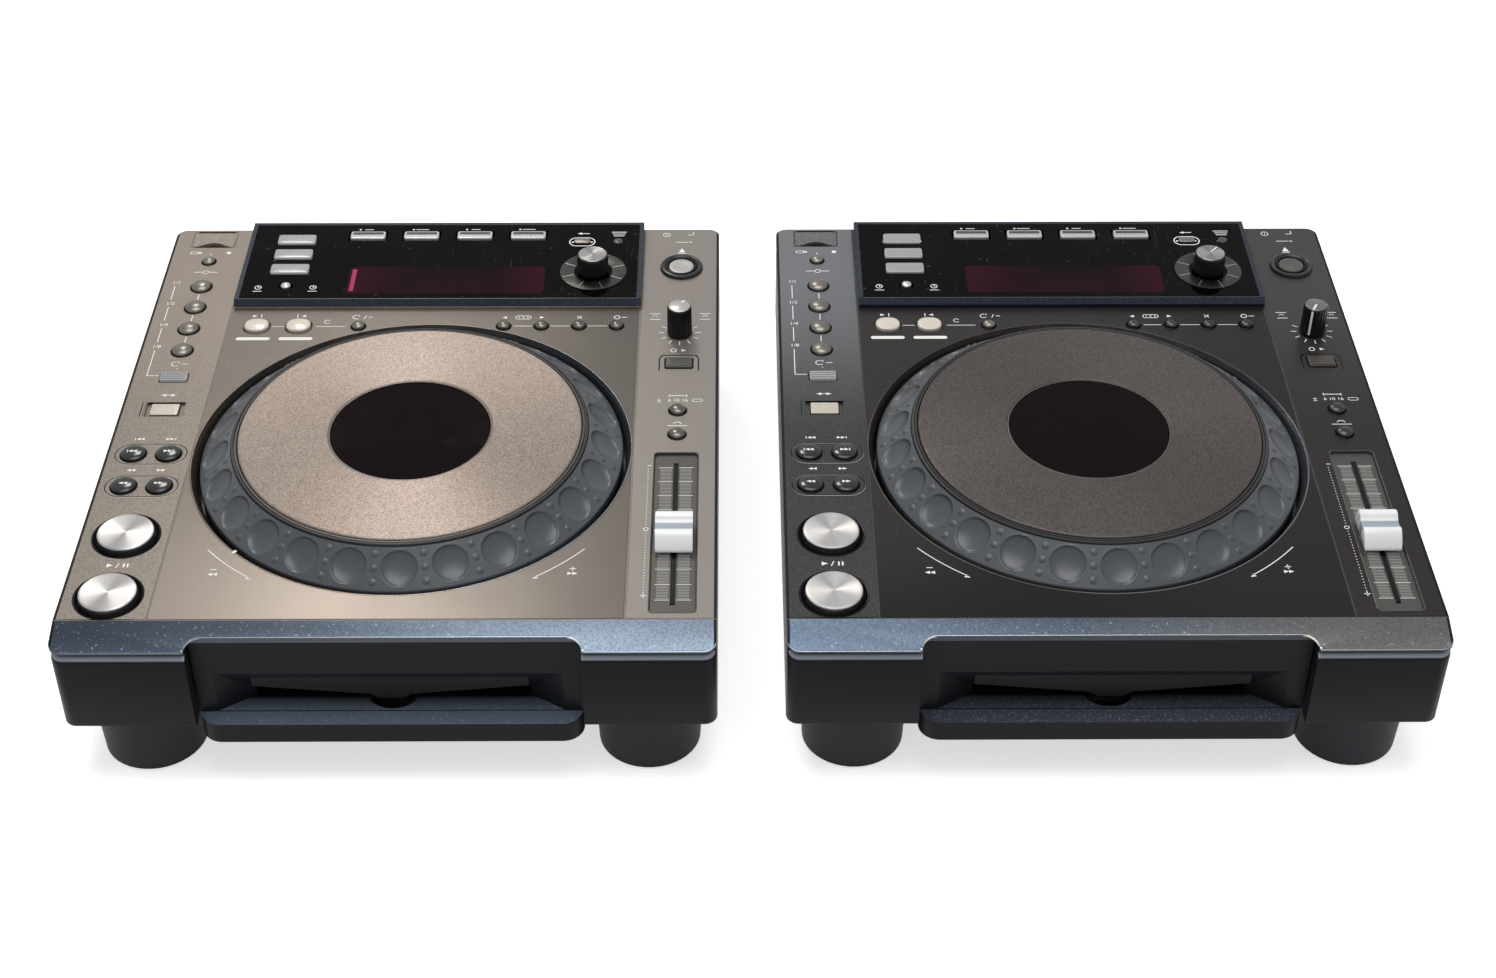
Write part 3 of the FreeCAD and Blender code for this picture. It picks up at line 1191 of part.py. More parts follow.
def display_window():
    """Dark glass with openings for the keys that pass through it."""
    rear = from_back("display_setback")
    front = from_front("display_from_front")
    inset = "(display_wall + glass_gap)"
    glass = box("glass_blank", (f"display_left_x + {inset}", f"{front} + {inset}", GLASS_LOW),
                (f"display_right_x - {inset}", f"{rear} - {inset}", GLASS_TOP))
    spot = ("browse_x", from_front("browse_from_front"))
    ring = rod("browse_ring", spot, "browse_ring_radius", GLASS_LOW,
               f"{GLASS_TOP} + browse_ring_rise")
    dish = rod("browse_ring_dish", spot, "browse_radius + browse_ring_gap", GLASS_TOP,
               f"{GLASS_TOP} + 1")
    return cut("display_window_one", fuse("glass_solid", [glass, ring]), holes["glass"] + [dish])


# ---------------------------------------------------------------- memory socket lid
LID_HINGE_Y = from_back("lid_from_back")
LID_LOW = "deck_top - lid_wall"


def usb_lid():
    """Flap over the memory socket, with a scoop at its front edge and two hinge pins."""
    flap = box("lid_flap", ("lid_x - lid_length / 2", f"{LID_HINGE_Y} - lid_width", LID_LOW),
               ("lid_x + lid_length / 2", f"{LID_HINGE_Y} + lid_wall / 2 - 0.1", "deck_top"))
    scoop = rod("lid_scoop", ("lid_x", f"{LID_HINGE_Y} - lid_width"), "lid_scoop_radius * 0.6",
                f"{LID_LOW} - 1", "deck_top + 1")
    start = ("lid_x - lid_length / 2 - pin_reach", LID_HINGE_Y, "deck_top - lid_wall / 2")
    pins = lying_rod("lid_pins", start, "hinge_pin_radius", "lid_length + 2 * pin_reach", "X")
    return fuse("usb_lid_one", [cut("lid_cut", flap, [scoop]), pins])


def lid_pocket():
    """Openings in the deck for the lid, its pins, its scoop and the socket under it."""
    half = "lid_length / 2 + lid_gap"
    front = f"{LID_HINGE_Y} - lid_width - lid_gap"
    pocket = box("lid_pocket", (f"lid_x - ({half})", front, f"{LID_LOW} - lid_seat_gap"),
                 (f"lid_x + {half}", f"{LID_HINGE_Y} + lid_pocket_back", "deck_top + 1"))
    scoop = rod("lid_finger", ("lid_x", f"{front} + 1"), "lid_scoop_radius", f"{LID_LOW} - lid_seat_gap",
                "deck_top + 1")
    reach = "(pin_reach + lid_gap / 2)"
    start = (f"lid_x - lid_length / 2 - {reach}", LID_HINGE_Y, "deck_top - lid_wall / 2")
    pins = lying_rod("lid_pin_holes", start, "hinge_pin_radius + running_clearance",
                     f"lid_length + 2 * {reach}", "X")
    spread = "2 * (socket_wall + socket_gap)"
    socket = centred_box("socket_hole", ("lid_x", SOCKET_Y), f"socket_length + {spread}",
                         f"socket_width + {spread}", "rim_low - 1", "deck_top")
    holes["deck"].extend([pocket, scoop, pins, socket])


SOCKET_Y = from_back("lid_from_back + lid_width / 2 + socket_offset")


def usb_socket():
    """Metal sleeve of the memory socket, open at the top."""
    top = f"{LID_LOW} - lid_seat_gap - socket_gap"
    low = f"{top} - socket_depth"
    sleeve = centred_box("socket_sleeve", ("lid_x", SOCKET_Y), "socket_length + 2 * socket_wall",
                         "socket_width + 2 * socket_wall", low, top)
    bore = centred_box("socket_bore", ("lid_x", SOCKET_Y), "socket_length", "socket_width",
                       f"{low} + socket_floor", "deck_top")
    return cut("usb_socket_one", sleeve, [bore])


# ---------------------------------------------------------------- disc drive
SPINDLE = ("0", from_front("spindle_from_front"))
PAN_LOW = "sump_low + case_wall"
PAN_TOP = f"{PAN_LOW} + pan_wall"
ROD_SPOTS = ("-rod_x", "rod_x")


def drive_frame():
    """Folded steel frame: floor, two side walls, roof and the sled's brackets."""
    start = from_front("pan_from_front")
    end = from_front("pan_from_front + pan_length")
    half = "pan_half_width"
    floor = box("pan_floor", (f"-{half}", start, PAN_LOW), (half, end, PAN_TOP))
    walls = [
        box(f"pan_wall_{name}", (low, start, PAN_LOW), (high, end, "pan_top"))
        for name, low, high in (("left", f"-{half}", f"-{half} + pan_wall"),
                                ("right", f"{half} - pan_wall", half))
    ]
    roof = box("pan_roof", (f"-{half}", start, "pan_top - pan_wall"), (half, end, "pan_top"))
    brackets = [
        box(f"rod_bracket_{i}", ("-rod_x - bracket_margin", from_front(place), PAN_LOW),
            ("rod_x + bracket_margin", from_front(f"{place} + bracket_length"),
             "rod_height + rod_radius + bracket_cap"))
        for i, place in enumerate(("rod_start", f"rod_start + {ROD_LENGTH} - bracket_length"))
    ]
    solid = fuse("pan_solid", [floor, roof] + walls + brackets)
    bores = [
        lying_rod(f"rod_bore_{i}", (spot, from_front("rod_start + bracket_length / 2"), "rod_height"),
                  "rod_radius", f"{ROD_LENGTH} - bracket_length", "Y")
        for i, spot in enumerate(ROD_SPOTS)
    ]
    roller = lying_rod("roller_bore", (f"-{half} - 1", from_front("roller_from_front"), "roller_height"),
                       "roller_shaft_radius + running_clearance", f"2 * {half} + 2", "X")
    clamp_hole = rod("clamp_hole", SPINDLE, "clamp_radius * 0.6 + clamp_gap", "pan_top - pan_wall - 1",
                     "pan_top + 1")
    return cut("drive_frame_one", solid, bores + [roller, clamp_hole])


def disc_clamp():
    """Loose magnetic clamp that rests in the roof over the turntable."""
    return turned("disc_clamp", [
        ("0", "clamp_low"),
        ("clamp_radius", "clamp_low"),
        ("clamp_radius", "clamp_low + clamp_wall"),
        ("clamp_radius * 0.6", "clamp_low + clamp_wall"),
        ("clamp_radius * 0.6", "pan_top"),
        ("clamp_radius * 0.85", "pan_top"),
        ("clamp_radius * 0.85", "pan_top + clamp_cap"),
        ("0", "pan_top + clamp_cap"),
    ], *SPINDLE)


def drive_motors():
    """Spindle motor, roller motor, sled motor and the two sled rods."""
    can = rod("spindle_can", SPINDLE, "motor_radius", PAN_TOP, "motor_top")
    shaft = rod("spindle_shaft", SPINDLE, "spindle_radius", "motor_top", "turntable_top")
    spindle = fuse("spindle_motor", [can, shaft])
    roller_end = ("pan_half_width", from_front("roller_from_front"), "roller_height")
    gearmotor = lying_rod("roller_motor", roller_end, "gearmotor_radius", "gearmotor_length", "X")
    sled_spot = ("rod_x + sled_motor_offset", from_front(f"rod_start + {ROD_LENGTH}"))
    sled_motor = rod("sled_motor", sled_spot, "sled_motor_radius", PAN_TOP,
                     "rod_height + sled_motor_rise")
    rods = [
        lying_rod(f"sled_rod_{i}", (spot, from_front("rod_start + bracket_length / 2"), "rod_height"),
                  "rod_radius", f"{ROD_LENGTH} - bracket_length", "Y")
        for i, spot in enumerate(ROD_SPOTS)
    ]
    return group("drive_motors_one", [spindle, gearmotor, sled_motor] + rods)


def turntable():
    bore = "spindle_radius + running_clearance"
    return turned("turntable_one", [
        (bore, "turntable_low"),
        ("turntable_radius", "turntable_low"),
        ("turntable_radius", "turntable_top"),
        ("centring_radius", "turntable_top"),
        ("centring_radius - 0.8", "centring_top"),
        (bore, "centring_top"),
    ], *SPINDLE)


def loading_roller():
    """Rubber roller on its steel shaft."""
    row = from_front("roller_from_front")
    rubber = lying_rod("roller_rubber", ("-roller_half_length", row, "roller_height"), "roller_radius",
                       "2 * roller_half_length", "X")
    shaft = lying_rod("roller_shaft", ("-pan_half_width", row, "roller_height"), "roller_shaft_radius",
                      "2 * pan_half_width - 0.1", "X")
    return fuse("loading_roller_one", [rubber, shaft])


def pickup_sled():
    """Sled with its lens, sliding on the two rods."""
    start = from_front("sled_start")
    end = from_front("sled_start + sled_length")
    block = box("sled_block", ("-rod_x - sled_margin", start, "sled_low"),
                ("rod_x + sled_margin", end, "sled_top"))
    lens = rod("sled_lens", ("0", f"{start} + lens_setback"), "lens_radius", "sled_top", "lens_top")
    bores = [
        lying_rod(f"sled_bore_{i}", (spot, f"{start} - 1", "rod_height"), "rod_radius + running_clearance",
                  "sled_length + 2", "Y")
        for i, spot in enumerate(ROD_SPOTS)
    ]
    return cut("pickup_sled_one", fuse("sled_solid", [block, lens]), bores)


# ---------------------------------------------------------------- boards and supply
def circuit_boards():
    """Main board on its posts, and the boards under the keys with their switches."""
    floor = FLOOR_TOP
    low = f"{floor} + board_rise"
    start = from_front("boards_from_front")
    end = from_front("boards_from_front + boards_depth")
    main = box("main_board", ("main_board_left_x", start, low), ("main_board_right_x", end,
                                                                f"{low} + board_wall"))
    main_parts = [main]
    for i, (x, y) in enumerate(corner_spots("main_board_left_x", "main_board_right_x", start, end)):
        main_parts.append(rod(f"main_post_{i}", (x, y), "board_post_radius", floor, low))
    for i in range(3):
        spot = (f"chip_first_x + {i} * chip_pitch", f"{start} + boards_depth / 2")
        main_parts.append(centred_box(f"chip_{i}", spot, "chip_side", "chip_side",
                                      f"{low} + board_wall", f"{low} + board_wall + chip_height"))
    boards = [fuse("main_board_one", main_parts)]
    side = f"({WIDTH} - column_board_margin)"
    end_y = from_front("column_board_end")
    boards.append(key_board("left_key_board", f"-{side}", "-column_board_inner",
                            from_front("left_board_start"), end_y))
    boards.append(key_board("right_key_board", "column_board_inner", side,
                            from_front("right_board_start"), end_y))
    row_start = from_front("loop_row_from_front - row_board_front")
    row_end = from_front("loop_row_from_front + row_board_back")
    for name, first, last in (("left", "loop_in_x", "reloop_x"),
                              ("right", "call_first_x", "call_first_x + 3 * call_pitch")):
        board = key_board(f"row_board_{name}", f"{first} - row_board_margin",
                          f"{last} + row_board_margin", row_start, row_end)
        boards.append(clear_of_well(f"row_board_{name}_one", board))
    boards.append(display_board())
    return group("circuit_boards_one", boards)


def corner_spots(left, right, start, end):
    """Places a little inside the four corners of a board."""
    inset = "board_post_inset"
    return [
        (x, y)
        for x in (f"{left} + {inset}", f"{right} - {inset}")
        for y in (f"{start} + {inset}", f"{end} - {inset}")
    ]


def key_board(name, left, right, start, end):
    """A board with one switch under each key that lies over it."""
    board = box(name + "_sheet", (left, start, KEY_BOARD_LOW), (right, end, "key_board_top"))
    pieces = [board]
    limits = [size(text) for text in (left, right, start, end)]
    for i, (x, y) in enumerate(switch_spots):
        inside = limits[0] < size(x) < limits[1] and limits[2] < size(y) < limits[3]
        if inside:
            pieces.append(centred_box(f"{name}_switch_{i}", (x, y), "switch_side", "switch_side",
                                      "key_board_top", SWITCH_TOP))
    for i, (x, y) in enumerate(KNOB_SPOTS):
        inside = limits[0] < size(x) < limits[1] and limits[2] < size(y) < limits[3]
        if inside:
            pieces.append(rod(f"{name}_pot_{i}", (x, y), "pot_radius", "key_board_top",
                              "key_board_top + pot_height"))
    return fuse(name, pieces)


KNOB_SPOTS = [
    (RIGHT_X, from_front("vinyl_from_front")),
    ("browse_x", from_front("browse_from_front")),
]


def display_board():
    """Board under the display with the module that shows through the window."""
    front = from_front("display_from_front + display_board_front")
    rear = from_back("display_board_back")
    board = key_board("display_keys", "display_left_x + display_board_side",
                      "display_right_x - display_board_side", front, rear)
    module_top = f"{GLASS_LOW} - module_gap"
    module_low = f"{module_top} - module_height"
    module = box("display_module", ("module_left_x", front, module_low),
                 ("module_right_x", f"{front} + module_depth", module_top))
    legs = [
        rod(f"module_leg_{i}", (x, f"{front} + module_depth / 2"), "board_post_radius",
            "key_board_top", module_low)
        for i, x in enumerate(("module_left_x + board_post_inset", "module_right_x - board_post_inset"))
    ]
    return fuse("display_board_one", [board, module] + legs)


def power_supply():
    """Supply board on posts, with its transformer and two tall capacitors."""
    low = f"{FLOOR_TOP} + board_rise"
    start = from_front("boards_from_front")
    end = from_front("boards_from_front + supply_depth")
    top = f"{low} + board_wall"
    pieces = [box("supply_board", ("supply_left_x", start, low), ("supply_right_x", end, top))]
    for i, (x, y) in enumerate(corner_spots("supply_left_x", "supply_right_x", start, end)):
        pieces.append(rod(f"supply_post_{i}", (x, y), "board_post_radius", FLOOR_TOP, low))
    left = "supply_left_x + transformer_inset"
    near = f"{start} + transformer_inset"
    pieces.append(box("transformer", (left, near, top),
                      (f"{left} + transformer_length", f"{near} + transformer_depth",
                       f"{top} + transformer_height")))
    for i in range(2):
        spot = ("supply_right_x - capacitor_inset",
                f"{start} + capacitor_inset + {i} * capacitor_pitch")
        pieces.append(rod(f"capacitor_{i}", spot, "capacitor_radius", top,
                          f"{top} + capacitor_height"))
    return fuse("power_supply_one", pieces)


# ---------------------------------------------------------------- feet and screws
def foot(index, spot):
    return turned(f"foot_{index}", [
        ("screw_radius + screw_clearance", "foot_bore_depth"),
        ("foot_bore_radius", "foot_bore_depth"),
        ("foot_bore_radius", "0"),
        ("foot_radius_low - foot_chamfer", "0"),
        ("foot_radius_low", "foot_chamfer"),
        ("foot_radius_top", "foot_height"),
        ("screw_radius + screw_clearance", "foot_height"),
    ], *spot)


def screw(name, spot, seat, tip):
    """Pan-head screw from below: its head seats at one height and its tip ends at another."""
    return turned(name, [
        ("0", f"{seat} - screw_head_height"),
        ("screw_head_radius - 0.8", f"{seat} - screw_head_height"),
        ("screw_head_radius", f"{seat} - screw_head_height / 2"),
        ("screw_head_radius", seat),
        ("screw_radius", seat),
        ("screw_radius", tip),
        ("0", tip),
    ], *spot)


def screws():
    items = [
        screw(f"foot_screw_{i}", spot, "foot_bore_depth", f"{FLOOR_TOP} + foot_screw_tip")
        for i, spot in enumerate(FOOT_SPOTS)
    ]
    items += [
        screw(f"case_screw_{i}", spot, "foot_height", f"{FLOOR_TOP} + screw_bite")
        for i, spot in enumerate(POST_SPOTS)
    ]
    return group("screws_one", items)


# ---------------------------------------------------------------- the assembly
def build():
    place_pair("play_button", big_button("play_one", "play_from_front"))
    place_pair("cue_button", big_button("cue_one", "cue_from_front"))
    place_pair("search_keys", key_pair("search_one", "search_from_front"))
    place_pair("track_search_keys", key_pair("track_search_one", "track_search_from_front"))
    place_pair("auto_loop_keys", automatic_loop_keys())
    place_pair("loop_keys", loop_keys())
    place_pair("call_keys", call_keys())
    place_pair("tempo_keys", tempo_keys())
    place_pair("source_keys", source_keys())
    place_pair("menu_keys", menu_keys())
    single_keys()
    place_pair("browse_knob", browse_knob())
    place_pair("vinyl_speed_knob", vinyl_speed_knob())
    place_pair("tempo_fader", tempo_fader())
    place_pair("jog_ring", jog_ring())
    place_pair("jog_plate", jog_plate())
    place_pair("turntable", turntable())
    place_pair("pickup_sled", pickup_sled())
    place_pair("loading_roller", loading_roller())
    place_pair("usb_lid", usb_lid())
    lid_pocket()
    place_both("fader_units", fader_unit())
    place_both("jog_hubs", jog_hub())
    place_both("display_housings", display_housing())
    place_both("windows", group("window_set", [display_window(), jog_window()]))
    place_both("drive_frames", group("drive_frame_set", [drive_frame(), disc_clamp()]))
    place_both("drive_motors", drive_motors())
    place_both("circuit_boards", group("board_set", [circuit_boards(), power_supply()]))
    place_both("rear_jacks", rear_jacks())
    place_both("memory_sockets", usb_socket())
    place_both("slot_bezels", slot_bezel())
    place_pair("lower_case", lower_case())
    place_both("feet", group("feet_one", [foot(i, spot) for i, spot in enumerate(FOOT_SPOTS)]))
    place_both("screws", screws())
    place_pair("deck_panel", deck_panel())


def check():
    """Stops if any object failed, or any sub-part is empty or not valid."""
    doc.recompute()
    faults = [item.Name for item in doc.Objects if {"Invalid", "Error"} & set(item.State)]
    for item in subparts:
        if item.Shape.isNull() or not item.Shape.isValid() or not item.Shape.Solids:
            faults.append(item.Label)
    if faults:
        print("failed objects:", ", ".join(faults))
        sys.exit(1)


def export():
    os.makedirs("parts", exist_ok=True)
    for item in subparts:
        item.Shape.exportStep(f"parts/{item.Label}.step")
        print(f"{item.Label}: {len(item.Shape.Solids)} solids, {item.Shape.Volume / 1000:.1f} cm3")


build()
check()
export()
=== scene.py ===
"""Looks of a pair of table-top disc players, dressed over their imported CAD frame."""
import functools
import json
import math

import bmesh
import bpy
from mathutils import Matrix, Vector


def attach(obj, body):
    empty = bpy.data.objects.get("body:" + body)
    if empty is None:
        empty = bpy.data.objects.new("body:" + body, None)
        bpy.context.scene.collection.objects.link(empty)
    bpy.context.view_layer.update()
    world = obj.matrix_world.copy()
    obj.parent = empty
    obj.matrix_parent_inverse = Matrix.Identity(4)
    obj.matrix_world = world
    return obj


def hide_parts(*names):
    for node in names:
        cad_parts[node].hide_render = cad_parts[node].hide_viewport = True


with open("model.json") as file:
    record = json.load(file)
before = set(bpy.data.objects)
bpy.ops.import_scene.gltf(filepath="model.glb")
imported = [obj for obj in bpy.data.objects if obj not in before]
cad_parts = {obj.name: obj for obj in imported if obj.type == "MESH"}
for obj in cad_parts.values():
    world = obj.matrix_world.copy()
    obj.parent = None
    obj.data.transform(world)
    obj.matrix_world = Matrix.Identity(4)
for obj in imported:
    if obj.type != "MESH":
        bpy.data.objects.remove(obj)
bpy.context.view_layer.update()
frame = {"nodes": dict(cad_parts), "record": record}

# ---------------------------------------------------------------- places
# Lengths are in millimetres from a player's middle (x), its front face (y) and the table (z).
MM = 0.001
PLAYER_X = {"left": -168.5, "right": 168.5}
HALF_WIDTH = 152.5
DEPTH = 346.0
CORNER = 6.0
DECK = 87.0
SKIN = 0.25  # the painted sheet that lies on the moulded deck
TOP = DECK + SKIN
KEY_LOW = 84.0
GLASS = 92.2
DECK_MARK = TOP + 0.03
GLASS_MARK = GLASS + 0.03
STRIP_DEPTH = 17.5
STRIP_LOW = 82.0
RECESS = 90.5  # half the width of the recess with the disc slot
GROOVE_LEFT = -109.6
GROOVE_RIGHT = 110.2
WELL = 109.6
JOG_Y = 143.4
LEFT_X = -130.1
RIGHT_X = 131.8
LID_X = -130.3
LID_Y = 335.6
KEY_ROW_Y = 251.2
PAD_XS = (-94.1, -71.8)
RELOOP_X = -40.0
CALL_XS = tuple(37.6 + 20.1 * i for i in range(4))
MENU_XS = tuple(-43.5 + 29.8 * i for i in range(4))
MENU_SIDE_Y = 325.6
SOURCE_X = -82.5
PLAY_YS = (34.0, 77.3)
SEARCH_YS = (115.3, 140.8)
DIRECTION_Y = 178.2
RIDGED_Y = 205.2
LOOP_YS = tuple(229.3 + 19.9 * i for i in range(4))
STOP_Y = 314.0
FADER_Y = 81.0
TROUGH_Y = FADER_Y + 0.3
TEMPO_YS = (156.1, 176.1)
MODE_Y = 217.2
VINYL_Y = 244.6
EJECT_Y = 306.8
BROWSE = (83.7, 296.0)
DISPLAY_Y = 288.0
PAIR_HALF = 8.75  # from the middle of a pair of search keys to each key
PAIR_R = 6.2
LOOP_R = 5.5
SMALL_R = 3.6
TEMPO_R = 4.35
BIG_R = 13.5
BIG_WELL = 16.35
KEY_GAP = 0.55
JACK_PITCH = 14.4


def spot(x, y, z=0.0):
    return Vector((x * MM, (y - DEPTH / 2.0) * MM, z * MM))


def polar(x, y, reach, turn):
    return x + reach * math.cos(turn), y + reach * math.sin(turn)


# ---------------------------------------------------------------- materials
BLACK = (0.0078, 0.0083, 0.0104)
FLECK_WARM = (0.34, 0.31, 0.28)
FLECK_DIM = (0.13, 0.132, 0.138)
FLECK_BLUE = (0.22, 0.26, 0.32)


class Paint:
    """One procedural material, built node by node in object coordinates."""

    def __init__(self, name, roughness=0.5, metallic=0.0, specular=0.5, coat=0.0):
        self.material = bpy.data.materials.new(name)
        self.material.use_nodes = True
        self.tree = self.material.node_tree
        self.shader = self.tree.nodes["Principled BSDF"]
        self.set("Roughness", roughness)
        self.set("Metallic", metallic)
        self.set("Specular IOR Level", specular)
        self.set("Coat Weight", coat)
        self.set("Coat Roughness", 0.05)
        self.place = self.add("ShaderNodeTexCoord").outputs["Object"]
        self.axes = self.add("ShaderNodeSeparateXYZ")
        self.link(self.place, self.axes.inputs[0])

    def add(self, kind, **settings):
        node = self.tree.nodes.new(kind)
        for key, value in settings.items():
            setattr(node, key, value)
        return node

    def link(self, source, target):
        self.tree.links.new(source, target)

    def put(self, value, target):
        """Links a socket, or writes a plain value into it."""
        if isinstance(value, bpy.types.NodeSocket):
            self.link(value, target)
        elif isinstance(value, tuple) and len(value) == 3 and len(target.default_value) == 4:
            target.default_value = (*value, 1.0)
        else:
            target.default_value = value

    def set(self, name, value):
        self.put(value, self.shader.inputs[name])
        return self

    def colour(self, value):
        return self.set("Base Color", value)

    def base(self):
        return self.shader.inputs["Base Color"].links[0].from_socket

    def over(self, share, tone):
        """Lays a tone over the base colour so far."""
        return self.colour(self.mix(share, self.base(), tone))

    def math(self, operation, first, second=0.0, clamp=False):
        node = self.add("ShaderNodeMath", operation=operation, use_clamp=clamp)
        self.put(first, node.inputs[0])
        self.put(second, node.inputs[1])
        return node.outputs[0]

    def times(self, first, second, clamp=False):
        return self.math("MULTIPLY", first, second, clamp)

    def plus(self, first, second):
        return self.math("ADD", first, second)

    def sine(self, value, factor, shift=None):
        wave = self.times(value, factor)
        return self.math("SINE", wave if shift is None else self.plus(wave, shift))

    def most(self, values):
        """The largest of several values."""
        return functools.reduce(lambda first, second: self.math("MAXIMUM", first, second), values)

    def axis(self, index, origin=0.0):
        """Millimetres along X, Y or Z from an origin given in millimetres."""
        return self.math("SUBTRACT", self.times(self.axes.outputs[index], 1.0 / MM), origin)

    def wavy(self, index, scale, detail, reach):
        """Millimetres along an axis, shifted to and fro by slow noise."""
        return self.plus(self.axis(index), self.times(self.noise(scale, detail), reach))

    def away(self, x, y):
        """Millimetres from an upright line."""
        across = self.math("POWER", self.math("ABSOLUTE", self.axis(0, x)), 2.0)
        along = self.math("POWER", self.math("ABSOLUTE", self.axis(1, y - DEPTH / 2.0)), 2.0)
        return self.math("SQRT", self.plus(across, along))

    def around(self, x, y):
        """Angle about an upright line, in radians."""
        return self.math("ARCTAN2", self.axis(1, y - DEPTH / 2.0), self.axis(0, x))

    def facing(self, index):
        """Part of the surface normal along X, Y or Z."""
        parts = self.add("ShaderNodeSeparateXYZ")
        self.link(self.add("ShaderNodeNewGeometry").outputs["Normal"], parts.inputs[0])
        return parts.outputs[index]

    def brushed(self, x, y, amount):
        """Grooves turned about an upright line: reflections stretch along its radius."""
        reach = self.add("ShaderNodeVectorMath", operation="SUBTRACT")
        self.link(self.place, reach.inputs[0])
        reach.inputs[1].default_value = spot(x, y, 0.0)
        flat = self.add("ShaderNodeVectorMath", operation="MULTIPLY")
        self.link(reach.outputs[0], flat.inputs[0])
        flat.inputs[1].default_value = (1.0, 1.0, 0.0)
        world = self.add("ShaderNodeVectorTransform", convert_from="OBJECT", convert_to="WORLD")
        self.link(flat.outputs[0], world.inputs[0])
        self.link(world.outputs[0], self.shader.inputs["Tangent"])
        return self.set("Anisotropic", amount)

    def stretch(self, scale, turn=0.0):
        node = self.add("ShaderNodeMapping")
        self.link(self.place, node.inputs["Vector"])
        node.inputs["Scale"].default_value = scale
        node.inputs["Rotation"].default_value = (0.0, 0.0, turn)
        return node.outputs[0]

    def noise(self, scale, detail=2.0, vector=None):
        node = self.add("ShaderNodeTexNoise")
        self.link(vector or self.place, node.inputs["Vector"])
        node.inputs["Scale"].default_value = scale
        node.inputs["Detail"].default_value = detail
        return node.outputs["Fac"]

    def steps(self, value, low, high, bottom=0.0, top=1.0):
        """Maps low..high onto bottom..top, held at the ends."""
        node = self.add("ShaderNodeMapRange", interpolation_type="SMOOTHSTEP")
        self.put(value, node.inputs["Value"])
        for name, number in zip(("From Min", "From Max", "To Min", "To Max"), (low, high, bottom, top)):
            node.inputs[name].default_value = number
        return node.outputs["Result"]

    def ramp(self, index, low, high, bottom=0.0, top=1.0):
        """Steps along an axis, in millimetres."""
        return self.steps(self.axis(index), low, high, bottom, top)

    def grain(self, scale, detail, low, high, bottom=0.0, top=1.0):
        """Steps of noise."""
        return self.steps(self.noise(scale, detail), low, high, bottom, top)

    def mix(self, share, first, second):
        node = self.add("ShaderNodeMix", data_type="RGBA")
        self.put(share, node.inputs[0])
        self.put(first, node.inputs[6])
        self.put(second, node.inputs[7])
        return node.outputs[2]

    def band(self, value, low, high, soft):
        """1 between two values, fading over a soft edge."""
        rise = self.steps(value, low - soft, low + soft)
        return self.times(rise, self.steps(value, high - soft, high + soft, 1.0, 0.0))

    def bump(self, height, distance, strength=1.0):
        node = self.add("ShaderNodeBump")
        self.link(height, node.inputs["Height"])
        node.inputs["Distance"].default_value = distance
        node.inputs["Strength"].default_value = strength
        return self.set("Normal", node.outputs[0])

    def scuffs(self, turn):
        for angle, size in ((turn, 1.0), (turn + 1.9, 1.7)):
            lines = self.noise(90.0 * size, 1.0, self.stretch((14.0, 0.35, 1.0), angle))
            patches = self.grain(28.0 * size, 2.0, 0.54, 0.66)
            yield self.times(self.steps(lines, 0.71, 0.76), patches)

    def scratches(self, amount, turn=0.4):
        """Thin straight scuffs in two directions, 0 to 1."""
        return self.times(self.most(self.scuffs(turn)), amount)


def tint(colour, factor):
    return tuple(min(max(channel * factor, 0.0), 1.0) for channel in colour)


def satin(name, colour, roughness=0.45, metallic=0.0, grain=1800.0, depth=0.00002, spread=0.12,
          specular=0.3, coat=0.0, speck=0.35, scuff=0.25):
    """Moulded or painted surface: fine grain, slow change of tone, light scuffs."""
    paint = Paint(name, roughness, metallic, specular, coat)
    fine = paint.noise(grain, 3.0)
    slow = paint.noise(9.0, 3.0)
    dark = tint(colour, 1.0 - spread)
    light = tint(colour, 1.0 + spread)
    tone = paint.mix(paint.steps(slow, 0.3, 0.7), dark, light)
    grit = paint.mix(paint.steps(fine, 0.35, 0.65), tint(dark, 0.9), light)
    paint.colour(paint.mix(speck, tone, grit)).over(paint.scratches(scuff), tint(light, 1.5))
    paint.set("Roughness", paint.steps(fine, 0.2, 0.8, roughness * 0.85, min(roughness * 1.15, 1.0)))
    return paint.bump(fine, depth)


def metallic_paint(name, colour, fleck, roughness, sparkle=0.06, patch=0.10, metallic=0.45, grain=0.16):
    """Car-like satin paint with grain and bright flecks, used on the decks, strips and plates."""
    paint = Paint(name, roughness, metallic, 0.15)
    fine = paint.noise(2600.0, 2.0)
    slow = paint.noise(7.0, 3.0)
    calm = paint.mix(paint.steps(slow, 0.3, 0.7), tint(colour, 1.0 - patch), tint(colour, 1.0 + patch))
    grit = paint.grain(1700.0, 2.0, 0.36, 0.64)
    tone = paint.mix(grit, paint.mix(grain * 2.0, calm, (0.0, 0.0, 0.0)), paint.mix(grain, calm, fleck))
    flecks = paint.steps(fine, 0.60, 0.72)
    paint.colour(paint.mix(paint.times(flecks, sparkle * 10.0, True), tone, fleck))
    paint.over(paint.scratches(0.22), tint(fleck, 1.2))
    paint.set("Roughness", paint.steps(slow, 0.3, 0.7, roughness * 0.92, roughness * 1.1))
    return paint.bump(fine, 0.00002, 0.6)


